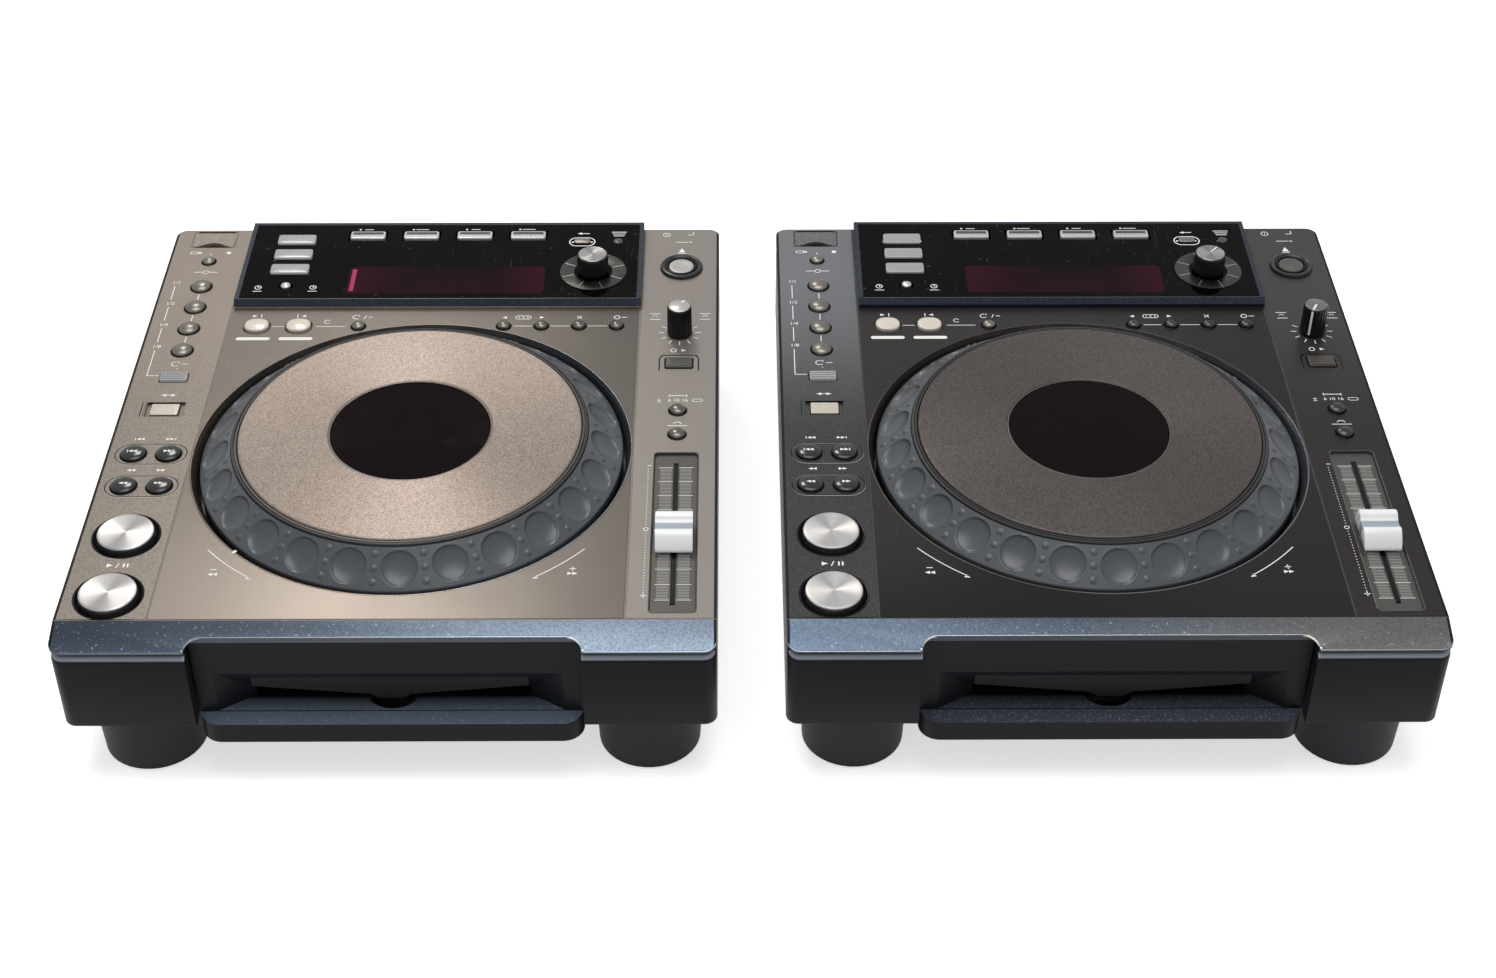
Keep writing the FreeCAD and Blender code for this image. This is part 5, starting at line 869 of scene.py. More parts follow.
def make_jog():
    ring = ring_mesh()
    rim = lathe("ring_rim", RIM, "rim_dark")
    window_rim = lathe("window_rim", WINDOW_RIM, "window_hairline", 160)
    liner = lathe("well_liner", LINER, "well_gloss")
    for side, plate in (("left", "plate_champagne"), ("right", "plate_dark")):
        body = f"{side}_jog_wheel"
        show("ring_slope", ring, side, body, (f"{side}_jog_ring",))
        show("ring_rim", rim, side, body)
        show("touch_plate", lathe("touch_plate", PLATE, plate), side, body, (f"{side}_jog_plate",))
        show("window_rim", window_rim, side, body)
        show("well_liner", liner, side, "housing")


make_jog()

# ---------------------------------------------------------------- deck sheets
GROOVE = 0.3
SHEET_FINISH = {  # columns, middle, strip and its edge
    "left": ("column_warm", "middle_warm", "strip_blue", "strip_edge_blue"),
    "right": ("column_dark", "middle_dark", "strip_slate", "strip_edge_warm"),
}


def round_hole(x, y, radius, gap=KEY_GAP):
    return round_points(x, y, radius + gap, 48)


def make_sheets():
    """Painted sheets over the moulded deck: two side columns, the middle, and the sloping strip."""
    left_holes = [round_hole(LEFT_X, y, BIG_WELL, 0.0) for y in PLAY_YS]
    left_holes += [round_hole(LEFT_X + way * PAIR_HALF, y, PAIR_R) for y in SEARCH_YS for way in (-1, 1)]
    left_holes.append(box_points(LEFT_X, DIRECTION_Y, 20.6, 12.0, 1.2))
    left_holes.append(box_points(LEFT_X, RIDGED_Y, 15.0, 8.0, 1.0))
    left_holes += [round_hole(LEFT_X, y, LOOP_R) for y in LOOP_YS]
    left_holes += [round_hole(LEFT_X, STOP_Y, SMALL_R), box_points(LID_X, LID_Y + 0.65, 24.6, 16.3, 1.5)]
    right_holes = [box_points(RIGHT_X, TROUGH_Y, 21.8, 119.8, 2.0)]
    right_holes += [round_hole(RIGHT_X, y, TEMPO_R) for y in TEMPO_YS]
    right_holes += [box_points(RIGHT_X, MODE_Y, 15.2, 10.2, 1.4), round_hole(RIGHT_X, VINYL_Y, 6.0),
                    round_hole(RIGHT_X, EJECT_Y, 11.5, 0.0)]
    row_holes = [box_points(x, KEY_ROW_Y, 14.6, 13.1, 6.0) for x in PAD_XS]
    row_holes += [round_hole(x, KEY_ROW_Y, SMALL_R) for x in (RELOOP_X, *CALL_XS)]
    front = STRIP_DEPTH + 0.15
    back = DEPTH - 0.1
    left_edge = -HALF_WIDTH + 0.1
    left = column_points(left_edge, GROOVE_LEFT - GROOVE, front, back, -1)
    right = column_points(GROOVE_RIGHT + GROOVE, -left_edge, front, back, 1)
    for side, (column, middle, strip, strip_edge) in SHEET_FINISH.items():
        for name, outline, holes, finish in (
                ("column_sheet_left", left, left_holes, column),
                ("middle_sheet_near", middle_points(front, True), [], middle),
                ("column_sheet_right", right, right_holes, column),
                ("middle_sheet_far", middle_points(267.2, False), row_holes, middle)):
            mesh = sheet_mesh(name, outline, holes, DECK - 0.4, TOP, 0.28, finish)
            show(name, mesh, side, "housing")
        show("strip_sheet", strip_mesh(strip, strip_edge), side, "housing")


def column_points(low_x, high_x, front, back, outer):
    """Outline of a side column; its outer rear corner follows the case."""
    points = [(low_x, front), (high_x, front)]
    corner_x = low_x + CORNER if outer < 0 else high_x - CORNER
    arc = round_points(corner_x, back - CORNER, CORNER, 8, 0.0 if outer > 0 else math.pi / 2.0, math.pi / 2.0)
    if outer > 0:
        return [*points, *arc, (low_x, back)]
    return [*points, (high_x, back), *arc]


def middle_points(edge_y, near):
    """Half of the middle sheet, cut round the well of the jog wheel."""
    reach = WELL + 0.1
    low_x = GROOVE_LEFT + GROOVE
    high_x = GROOVE_RIGHT - 2.0 * GROOVE
    left_turn = math.acos(low_x / reach)
    right_turn = math.acos(min(high_x / reach, 1.0))
    ends = [(low_x, edge_y), (high_x, edge_y)] if near else [(high_x, edge_y), (low_x, edge_y)]
    start = -right_turn if near else left_turn
    return ends + round_points(0.0, JOG_Y, reach, 97, start, right_turn - left_turn)


def strip_mesh(paint, edge):
    """The sloping front strip with a thick rounded front edge, cut back over the recess."""
    shape = bmesh.new()
    rise = (DECK - STRIP_LOW) / STRIP_DEPTH
    low = STRIP_LOW + SKIN
    layers = []
    for inset, drop in ((0.0, 0.75), (0.12, 0.35), (0.4, 0.08), (0.9, 0.0)):
        layers.append([shape.verts.new(spot(x - nx * inset, y - ny * inset, low + y * rise - drop))
                       for x, y, nx, ny in outline_normals(strip_points())])
    skin(shape, layers, 0, True)
    bmesh.ops.recalc_face_normals(shape, faces=shape.faces)
    for face in shape.faces:
        face.material_index = 1 if face.normal.y < -0.35 else 0
    return make_mesh("strip_sheet", shape, [paint, edge], 50.0)


def strip_points():
    """Outline of the front strip, seen from above."""
    edge = HALF_WIDTH - 0.02
    blend = 7.0
    depth = 8.0
    back = STRIP_DEPTH - 0.1
    points = [(edge, CORNER - 0.1), (edge, back), (-edge, back), (-edge, CORNER - 0.1)]
    points += [polar(CORNER - edge, CORNER, -CORNER, turn) for turn in (0.26, 0.52, 0.79, 1.05, 1.31)]
    points.append((CORNER - edge, 0.02))
    points += [(-RECESS - 1.6, 0.02), (-RECESS - 0.8, 0.25), (-RECESS - 0.25, 0.8), (-RECESS, 1.6)]
    for i in range(1, 8):
        angle = math.pi / 2.0 * i / 8.0
        points.append((-RECESS + blend - blend * math.cos(angle), depth - blend + blend * math.sin(angle)))
    points.append((-RECESS + blend, depth))
    return points + [(-x, y) for x, y in reversed(points[4:])]


def outline_normals(points):
    """Each point of a closed outline with its outward direction."""
    area = sum(a[0] * b[1] - b[0] * a[1] for a, b in zip(points, points[1:] + points[:1]))
    sign = 1.0 if area > 0 else -1.0
    result = []
    for i, (x, y) in enumerate(points):
        before = points[i - 1]
        after = points[(i + 1) % len(points)]
        first = Vector((y - before[1], before[0] - x)).normalized()
        second = Vector((after[1] - y, x - after[0])).normalized()
        way = (first + second).normalized()
        reach = 1.0 / max(way.dot(first), 0.4)
        result.append((x, y, way.x * reach * sign, way.y * reach * sign))
    return result


make_sheets()

# ---------------------------------------------------------------- lower case
CASE_LOW = 36.0
CASE_TOP = 79.4
CASE_WALL = 2.5
CASE_REAR = 343.5
SUMP_LOW = 25.8
FRONT_ROUND = 4.4
SIDE_ROUND = 1.4


def block(low, high):
    """A plain cutter or filler between two corners, for the case's boolean steps."""
    shape = bmesh.new()
    corners = ((low[0], low[1]), (high[0], low[1]), (high[0], high[1]), (low[0], high[1]))
    skin(shape, [ring_of(shape, corners, height) for height in (low[2], high[2])], 0, True, True)
    return new_object("block", make_mesh("block", shape))


def carve(item, rows):
    """Joins or cuts blocks, from rows of an operation and two corners, and returns the finished mesh."""
    tools = []
    for operation, low, high in rows:
        step = item.modifiers.new("step", "BOOLEAN")
        step.operation = operation
        step.solver = "EXACT"
        step.object = block(low, high)
        tools.append(step.object)
    bpy.context.view_layer.update()
    mesh = bpy.data.meshes.new_from_object(item.evaluated_get(bpy.context.evaluated_depsgraph_get()))
    for used in (item, *tools):
        bpy.data.objects.remove(used)
    return mesh


def case_mesh():
    """The black tray: rounded front blocks, the recess between them, sump and rear openings."""
    shape = bmesh.new()
    loops = []
    for height, inset in ((CASE_LOW, 0.8), (CASE_LOW + 0.3, 0.25), (CASE_LOW + 0.8, 0.0)):
        outline = box_points(0.0, DEPTH / 2.0, 2.0 * HALF_WIDTH - 2.0 * inset, DEPTH - 2.0 * inset,
                             CORNER - inset, 6)
        loops.append(ring_of(shape, outline, height))
    for i in range(7):
        angle = math.pi / 2.0 * i / 6.0
        draw = 1.0 - math.cos(angle)
        front = FRONT_ROUND * draw
        side = SIDE_ROUND * draw
        outline = box_points(0.0, DEPTH / 2.0 + (front - side) / 2.0, 2.0 * HALF_WIDTH - 2.0 * side,
                             DEPTH - front - side, CORNER - side, 6)
        loops.append(ring_of(shape, outline, CASE_TOP - FRONT_ROUND + FRONT_ROUND * math.sin(angle)))
    skin(shape, loops, 0, True, True)
    wide = HALF_WIDTH - CASE_WALL
    near = 2.0 * CASE_WALL - 0.3
    floor = CASE_LOW + CASE_WALL
    sump = SUMP_LOW + CASE_WALL
    mesh = carve(new_object("case_outer", make_mesh("case_outer", shape)), (
        ("UNION", (-89.0, 13.0, SUMP_LOW), (89.0, 218.0, floor - 1.0)),  # sump
        ("DIFFERENCE", (-wide, near, floor), (-93.0, CASE_REAR, 90.0)),  # left well
        ("DIFFERENCE", (93.0, near, floor), (wide, CASE_REAR, 90.0)),  # right well
        ("DIFFERENCE", (-93.5, 24.0, floor), (93.5, CASE_REAR, 90.5)),  # middle well
        ("DIFFERENCE", (-86.5, 15.5, sump), (86.5, 215.5, floor + 1.0)),  # inside of the sump
        ("DIFFERENCE", (-RECESS, -1.0, SUMP_LOW - 1.0), (RECESS, 13.0, 91.0)),  # recess
        ("DIFFERENCE", (-RECESS, 12.0, sump), (RECESS, 25.0, 91.5)),  # way in from the recess
        ("DIFFERENCE", (82.2, 338.0, 50.2), (109.8, 347.0, 69.8)),  # hole of the mains inlet
        ("DIFFERENCE", (-141.2, 342.5, 52.0), (-85.6, 347.0, 68.0)),  # window of the signal sockets
    ))
    mesh.name = "case_shell"
    mesh.materials.clear()
    return finished(mesh, ["case_black"], 40.0)


def make_case():
    mesh = case_mesh()
    for side in PLAYER_X:
        item = show("case_shell", mesh, side, "housing", (f"{side}_lower_case",))
        edge = item.modifiers.new("edge", "BEVEL")
        edge.width = 0.5 * MM
        edge.segments = 2
        edge.limit_method = "ANGLE"
        edge.angle_limit = math.radians(50.0)
        edge.harden_normals = True


make_case()

# ---------------------------------------------------------------- thin marks
def stamp(shape, height, points, slot=0):
    """A printed mark: a very thin closed plate with the given outline."""
    skin(shape, [ring_of(shape, points, height + level) for level in (-0.03, 0.04)], slot, True, True)


def bar(shape, height, x, y, length, width, turn=0.0, slot=0):
    """A straight stroke through its middle."""
    a = length / 2.0
    b = width / 2.0
    stamp(shape, height, placed(x, y, ((-a, -b), (a, -b), (a, b), (-a, b)), turn), slot)


def spoke(shape, height, x, y, reach, length, width, turn, slot=0):
    """A stroke that points away from a centre."""
    bar(shape, height, *polar(x, y, reach, turn), length, width, turn, slot)


def arrow(shape, height, x, y, size, turn=0.0, slot=0):
    """A filled triangle that points along its turn."""
    corners = ((size * 0.5, 0.0), (-size * 0.5, size * 0.45), (-size * 0.5, -size * 0.45))
    stamp(shape, height, placed(x, y, corners, turn), slot)


def double_arrow(shape, height, x, y, size, back=False, end_bar=False):
    """Two triangles side by side, with an end bar where asked for."""
    for i in (-0.5, 0.5):
        arrow(shape, height, x + i * size, y, size, math.pi if back else 0.0)
    if end_bar:
        bar(shape, height, x + (-1.0 if back else 1.0) * size * 1.25, y, size * 0.2, size * 0.9)


def pill(shape, height, *box):
    stamp(shape, height, box_points(*box))


def loop_mark(shape, height, outer, inner):
    """A closed band between two outlines with the same number of points."""
    rows = ((outer, -0.03), (outer, 0.04), (inner, 0.04), (inner, -0.03))
    loops = [ring_of(shape, points, height + level) for points, level in rows]
    skin(shape, loops + loops[:1])


def circle(shape, height, x, y, radius, width):
    outer, inner = (round_points(x, y, radius + side * width / 2.0, 40) for side in (1, -1))
    loop_mark(shape, height, outer, inner)


def box_mark(shape, height, x, y, width, depth, corner, line):
    loop_mark(shape, height, box_points(x, y, width, depth, corner),
              box_points(x, y, width - 2.0 * line, depth - 2.0 * line, corner - line))


def arc(shape, height, x, y, radius, width, start, sweep):
    outer, inner = (round_points(x, y, radius + side * width / 2.0, 24, start, sweep) for side in (1, -1))
    stamp(shape, height, outer + inner[::-1])


def turn_mark(shape, height, x, y, start, forward):
    """A short arc beside the jog wheel with an arrow at one end; its start is in degrees."""
    start = math.radians(start)
    sweep = math.radians(15.0)
    arc(shape, height, x, y, 117.6, 0.5, start, sweep)
    tip = start + (sweep if forward else 0.0)
    arrow(shape, height, *polar(x, y, 118.1, tip), 2.6, tip + (math.pi / 2.0 if forward else -math.pi / 2.0))


def digits(shape, height, x, y, text, size):
    """Plain numbers and signs, drawn in Blender's own typeface."""
    curve = bpy.data.curves.new("figure", "FONT")
    curve.body = text
    curve.size = size * MM
    curve.align_x = "CENTER"
    curve.align_y = "CENTER"
    curve.extrude = 0.035 * MM
    curve.resolution_u = 3
    mesh = mesh_of_curve(curve)
    mesh.transform(Matrix.Translation(spot(x, y, height)))
    shape.from_mesh(mesh)


def draw(shape, height, origin, marks):
    """Marks from rows of (function, x, y, ...), their x counted from an origin."""
    for make, x, *values in marks:
        make(shape, height, origin + x, *values)


# ---------------------------------------------------------------- keys and knobs
def collar(shape, x, y, radius):
    """The dark ring that a round key stands in."""
    turned(shape, x, y, [(radius + 0.55, DECK - 0.6), (radius + 0.55, TOP + 0.05), (radius + 0.3, TOP + 0.22),
                         (radius + 0.12, TOP + 0.05), (radius + 0.12, DECK - 1.5)], 48)


def round_keys(shape, collars, places, radius, shoulder, top):
    """Domed keys in their collars; their heights are counted from the deck."""
    for x, y in places:
        dome(shape, x, y, radius - 0.1, KEY_LOW, DECK + shoulder, DECK + top)
        collar(collars, x, y, radius)


def make_round_keys():
    """Pewter domes and dark glossy domes in their black collars."""
    collars = bmesh.new()
    for node, places, radius in (("tempo_keys", [(RIGHT_X, y) for y in TEMPO_YS], TEMPO_R),
                                 ("call_keys", [(x, KEY_ROW_Y) for x in CALL_XS], SMALL_R)):
        shape = bmesh.new()
        round_keys(shape, collars, places, radius, 0.9, 2.9)
        # the right player's domes take the darker copy of the pewter, painted shade
        moving(node[:-1] + "_domes", shape, node, "key_pewter", "pewter_shade", right="pewter_dark")
    shape = bmesh.new()
    round_keys(shape, collars, [(LEFT_X, y) for y in LOOP_YS], LOOP_R, 0.7, 3.0)
    round_keys(shape, collars, [(LEFT_X, STOP_Y)], SMALL_R, 0.8, 2.6)
    pad(shape, LEFT_X, RIDGED_Y, 13.8, 6.8, KEY_LOW, DECK + 1.6, 1.0, 0.4, 0.0, 1)
    for i in (-1, 0, 1):
        pad(shape, LEFT_X, RIDGED_Y + i * 6.8 * 0.28, 12.2, 0.9, DECK + 1.2, DECK + 2.3, 0.4, 0.35, 0.0, 1)
    moving("loop_domes", shape, "auto_loop_keys", "key_pewter", "key_pewter", "key_grey")
    for node, y in zip(("search_keys", "track_search_keys"), SEARCH_YS):
        shape = bmesh.new()
        round_keys(shape, collars, [(LEFT_X + way * PAIR_HALF, y) for way in (-1, 1)], PAIR_R, 1.2, 2.4)
        search_arrows(shape, y, node == "track_search_keys")
        moving(node[:-1] + "_domes", shape, node, "key_dark", "key_dark", "legend_white")
    collar(collars, RELOOP_X, KEY_ROW_Y, SMALL_R)
    fixed("key_collars", collars, "deck_charcoal", "groove_black")


def search_arrows(shape, y, to_ends):
    """White arrows on the domes of the search keys; the track keys add an end bar."""
    height = DECK + 1.2 + 1.2 * math.sqrt(1.0 - (2.0 / PAIR_R) ** 2) + 0.1
    for way, turn in ((-1, math.pi), (1, 0.0)):
        middle = LEFT_X + way * PAIR_HALF
        arrow(shape, height, middle - way * 1.0, y, 2.2, turn, 1)
        arrow(shape, height, middle + way * 1.1, y, 2.2, turn, 1)
        if to_ends:
            bar(shape, height, middle + way * 2.6, y, 0.45, 2.0, 0.0, 1)


def make_square_keys():
    low = GLASS - 2.0
    shape = build(
        *((pad, x, KEY_ROW_Y, 13.3, 11.8, KEY_LOW, DECK + 2.0, 5.4, 1.2, 0.5) for x in PAD_XS),
        (dome, RELOOP_X, KEY_ROW_Y, SMALL_R - 0.1, KEY_LOW, DECK + 0.9, DECK + 2.9, 1))
    moving("loop_pads", shape, "loop_keys", "key_ivory", "key_ivory", "key_pewter")
    shape = build((pad, LEFT_X, DIRECTION_Y, 14.3, 9.3, KEY_LOW, DECK + 0.2, 0.8, 0.35, 0.1))
    moving("direction_lens", shape, "direction_key", "key_cream")
    shape = build((pad, RIGHT_X, MODE_Y, 13.8, 8.8, KEY_LOW, DECK + 1.1, 1.0, 0.5, 0.1),
                  (pad, RIGHT_X, MODE_Y - 2.8, 12.0, 2.0, DECK + 0.9, DECK + 1.6, 0.6, 0.4, 0.0))
    moving("jog_mode_cap", shape, "jog_mode_key", "key_grey", "jog_mode_grey", right="jog_mode_brown")
    shape = build(
        *((pad, SOURCE_X, 298.3 + 14.65 * i, 20.8, 8.8, low, GLASS + 1.2, 1.4, 0.7, 0.25) for i in range(3)),
        (dome, SOURCE_X, 282.0, 2.7, low, GLASS + 0.6, GLASS + 1.9, 1))
    moving("source_caps", shape, "source_keys", "key_grey", "key_grey", "rim_bright")
    shape = bmesh.new()
    for x in MENU_XS:
        pad(shape, x, 332.0, 19.4, 7.2, low, GLASS + 0.9, 1.3, 0.5, 0.0, 1)
        pad(shape, x, 333.2, 17.0, 2.6, GLASS + 0.4, GLASS + 0.98, 0.6, 0.1)
    pad(shape, 76.3, MENU_SIDE_Y, 9.4, 4.6, low, GLASS + 1.1, 2.2, 0.6, 0.2, 2)
    dome(shape, 96.3, MENU_SIDE_Y, 2.6, low, GLASS + 0.5, GLASS + 1.1)
    moving("menu_caps", shape, "menu_keys", "key_grey", "menu_key_dark", "menu_key_silver", "key_pewter")


def make_big_buttons():
    """Play and cue: turned aluminium discs, each in a black ring."""
    rings = bmesh.new()
    for node, y in zip(("play_button", "cue_button"), PLAY_YS):
        shape = bmesh.new()
        turned(shape, LEFT_X, y, [(0.0, KEY_LOW), (BIG_R - 0.05, KEY_LOW), (BIG_R, DECK + 2.5)], 96, 1)
        turned(shape, LEFT_X, y, [(BIG_R, 2.5), (BIG_R - 0.12, 2.85), (BIG_R - 0.45, 3.1), (BIG_R - 0.9, 3.2),
                                  (BIG_R - 2.0, 3.12), (0.0, 3.0)], 96, 0, DECK)
        bmesh.ops.remove_doubles(shape, verts=shape.verts, dist=0.001 * MM)
        moving(node[:-7] + "_disc", shape, node, "spun_aluminium", node + "_face", "button_side")
        turned(rings, LEFT_X, y, [(BIG_WELL + 0.25, -0.05), (BIG_WELL + 0.25, 0.37), (BIG_WELL, 0.55),
                                  (BIG_WELL - 0.7, 0.35), (BIG_WELL - 1.2, -0.4), (BIG_R + 0.8, -1.0),
                                  (BIG_R + 0.35, -1.2), (BIG_R + 0.35, -2.0)], 96, 0, DECK)
    fixed("button_rings", rings, "deck_charcoal", "groove_black")


def make_eject():
    """The eject key: a low cap in a dark glossy ring."""
    cap = ((0.0, KEY_LOW - DECK), (6.85, KEY_LOW - DECK), (6.85, 1.3), (6.6, 1.6), (6.0, 1.7), (4.0, 1.5),
           (0.0, 1.4))
    outer = ((11.7, -0.1), (11.7, 1.3), (11.3, 1.95), (10.6, 2.25), (9.9, 2.2), (9.2, 1.75), (8.8, 1.3))
    inner = ((8.8, 1.3), (8.55, 1.35), (8.3, 1.95), (7.8, 2.05), (7.35, 1.7), (7.15, 0.6))
    shape = build((turned, RIGHT_X, EJECT_Y, cap, 64, 0, DECK))
    moving("eject_cap", shape, "eject_key", "key_pewter", "eject_light", right="eject_dark")
    shape = build((turned, RIGHT_X, EJECT_Y, outer, 80, 0, DECK),
                  (turned, RIGHT_X, EJECT_Y, inner, 80, 1, DECK))
    fixed("eject_ring", shape, "deck_charcoal", "eject_ring_dark", "groove_black")


def make_vinyl_knobs():
    """Ribbed knobs with a pointer line over the top and down the side, at its own turn on each player."""
    body = ((0.0, 87.4), (6.1, 87.4), (6.55, 88.0), (6.6, 89.0), (6.45, 103.2), (6.2, 104.2), (5.7, 104.7))
    cap = ((5.7, 104.65), (5.4, 104.85), (0.0, 104.9))
    line = ((6.15, 89.2), (6.66, 89.2), (6.51, 103.3), (5.75, 104.75), (5.5, 104.6))
    for side, top, turn, reach in (("left", "knob_top_light", math.radians(62.0), 2.6),
                                   ("right", "knob_top_dark", math.radians(-118.0), 5.4)):
        shape = build((turned, RIGHT_X, VINYL_Y, body, 144, 0, 0.0, 24, 0.35),
                      (turned, RIGHT_X, VINYL_Y, cap, 64, 1),
                      (spoke, 104.94, RIGHT_X, VINYL_Y, 5.6 - reach / 2.0, reach, 1.1, turn, 2))
        pairs = [ring_of(shape, placed(RIGHT_X, VINYL_Y, ((radius, -0.55), (radius, 0.55)), turn), height)
                 for radius, height in line]
        for low, high in zip(pairs, pairs[1:] + pairs[:1]):
            shape.faces.new((low[0], low[1], high[1], high[0])).material_index = 2
        for end in (0, 1):
            shape.faces.new([pair[end] for pair in pairs]).material_index = 2
        mesh = make_mesh("vinyl_knob", shape, ["knob_black", top, "legend_white"])
        node = f"{side}_vinyl_speed_knob"
        show("vinyl_knob", mesh, side, node, (node,))


def make_browse_knob():
    """The ribbed knob by the display, and the ring of marks round it."""
    x, y = BROWSE
    body = ((0.0, GLASS + 0.3), (8.0, GLASS + 0.3), (8.5, GLASS + 0.8), (8.6, GLASS + 1.6), (8.4, 102.6),
            (8.1, 103.4), (7.6, 103.7))
    cap = ((7.6, 103.65), (7.3, 103.85), (3.0, 103.75), (0.0, 103.7))
    ring = ((18.4, -0.1), (18.3, 0.25), (17.9, 0.36), (10.6, 0.36), (10.3, 0.2), (10.3, -0.1))
    shape = build((turned, x, y, body, 160, 0, 0.0, 30, 0.3), (turned, x, y, cap, 80, 1),
                  (bar, 103.9, x + 2.4, y + 3.0, 0.7, 6.4, -0.67, 2))
    moving("browse_dial", shape, "browse_knob", "knob_black", "knob_black", "knob_top_spun", "legend_white")
    shape = build(
        (turned, x, y, ring, 96, 0, GLASS),
        *((spoke, GLASS + 0.4, x, y, 14.2, 6.4, 0.55, math.tau * (i + 0.42) / 8, 1) for i in range(8)))
    fixed("browse_ring", shape, "display_glass", "dial_ring", "dial_mark")


def make_fader():
    """The tempo fader's cap, with a ridge, a hollow and a long front slope."""
    rest = 75.5
    section = [(11.9, 87.7), (11.9, 88.6), (11.2, 91.6), (9.9, 94.9), (9.2, 95.9), (8.2, 96.6), (6.8, 96.95),
               (5.6, 96.9), (4.7, 96.5), (4.1, 95.9), (3.0, 95.0), (1.4, 94.3), (-0.4, 94.1), (-2.2, 94.5),
               (-3.6, 95.2), (-4.6, 95.5), (-5.8, 95.2), (-7.6, 93.7), (-9.8, 91.4), (-11.4, 89.2),
               (-11.9, 88.4), (-11.9, 87.7)]
    shape = bmesh.new()
    extruded(shape, [(rest + y, z) for y, z in section], RIGHT_X - 9.0, RIGHT_X + 9.0, 0.5)
    pad(shape, RIGHT_X, rest, 1.1, 5.0, 80.4, 87.9, 0.3, 0.1, 0.0, 1)
    moving("fader_cap", shape, "tempo_fader", "fader_silver", "fader_silver", "rim_bright", sharp=50.0)
    shape = bmesh.new()
    plate = 86.0
    for i in range(91):
        place, length, width, slot = (4.9, 5.6, 0.3, 1) if i % 10 else (5.1, 7.0, 0.34, 0)
        for way in (-1, 1):
            bar(shape, plate + 0.03, RIGHT_X + way * place, 31.5 + 1.1 * i, length, width, 0.0, slot)
    bar(shape, plate + 0.02, RIGHT_X, FADER_Y, 1.9, 104.0, 0.0, 2)
    fixed("fader_scale", shape, "fader_plate_grey", "legend_white", "scale_grey", "groove_black")
    shape = bmesh.new()
    skin(shape, [ring_of(shape, box_points(RIGHT_X, TROUGH_Y, width, width + 98.0, 2.4), height)
                 for width, height in ((22.6, TOP - 0.2), (22.6, TOP + 0.1), (22.2, TOP + 0.2),
                                       (21.4, TOP + 0.05), (21.0, DECK - 0.5), (20.8, plate + 0.02))])
    fixed("fader_rim", shape, "deck_charcoal", "trough_rim")


def make_lid():
    """Lid over the memory socket: a thin lighter plate with a scoop at its front edge."""
    scoop = round_points(LID_X, 323.0, 9.4, 15, math.radians(51.0), math.radians(78.0))
    corners = box_points(LID_X, LID_Y, 23.4, 14.2, 1.8)
    front_end = 3 * len(corners) // 4
    outline = corners[:front_end] + scoop[::-1] + corners[front_end:]
    shape = bmesh.new()
    layers = [ring_of(shape, outline, height) for height in (85.2, TOP - 0.1)]
    inner = [(LID_X + (x - LID_X) * 0.985, LID_Y + (y - LID_Y) * 0.975) for x, y in outline]
    layers.append(ring_of(shape, inner, TOP + 0.15))
    skin(shape, layers, 0, True, True)
    for side, finish in (("left", "lid_warm"), ("right", "lid_cool")):
        mesh = make_mesh("lid_plate", shape.copy(), [finish])
        body = f"{side}_usb_lid"
        show("lid_plate", mesh, side, body, (body,))
    shape.free()


make_round_keys()
make_square_keys()
make_big_buttons()
make_eject()
make_vinyl_knobs()
make_browse_knob()
make_fader()
make_lid()

# ---------------------------------------------------------------- printed marks
BACK = math.pi  # turns of arrows and lengths of arcs
UP = math.pi / 2.0
CALL_MIDDLE = (CALL_XS[0] + CALL_XS[1]) / 2.0
LEFT_MARKS = (
    (digits, -14.1, 293.0, "1/1", 3.7), (digits, -14.1, 273.0, "1/2", 3.7),
    (digits, -14.1, 253.0, "1/4", 3.7), (digits, -14.1, 233.0, "1/8", 3.7),
    *((bar, -14.5, y, 0.45, 12.6) for y in (283.3, 263.3, 243.3)),
    (bar, -14.5, 218.4, 0.45, 22.4), (bar, -11.5, 207.0, 6.4, 0.45),
    *((bar, 0.0, y, 0.45, 5.4) for y in (239.3, 259.2, 279.1)),
    (arc, -1.5, 217.3, 1.9, 0.45, 0.6, 5.0), (arrow, 0.2, 218.6, 1.6, -1.0),
    (bar, 3.6, 217.3, 3.4, 0.45), (bar, 0.0, 213.3, 0.6, 0.6),
    (arrow, -2.6, 190.0, 2.6, BACK), (arrow, 2.6, 190.0, 2.6), (bar, 0.0, 190.0, 3.4, 0.5),
    (double_arrow, -7.5, 153.2, 2.1, True, True), (double_arrow, 7.5, 153.2, 2.1, False, True),
    (double_arrow, -7.5, 128.0, 2.1, True), (double_arrow, 7.5, 128.0, 2.1),
    (arrow, -3.6, 55.8, 3.0), (bar, 0.0, 55.8, 0.5, 3.6, -0.35),
    (bar, 3.0, 55.8, 0.8, 2.8), (bar, 4.8, 55.8, 0.8, 2.8),
    (box_mark, -9.4, 322.6, 4.6, 2.4, 0.5, 0.4), (bar, -6.2, 322.6, 1.6, 1.3),
    (bar, 9.6, 322.6, 2.2, 2.2), (arrow, 0.0, 321.2, 1.3, UP),
    (circle, 0.0, 303.4, 1.5, 0.4), (bar, 4.2, 303.4, 4.4, 0.5), (bar, -4.2, 303.4, 4.4, 0.5),
)
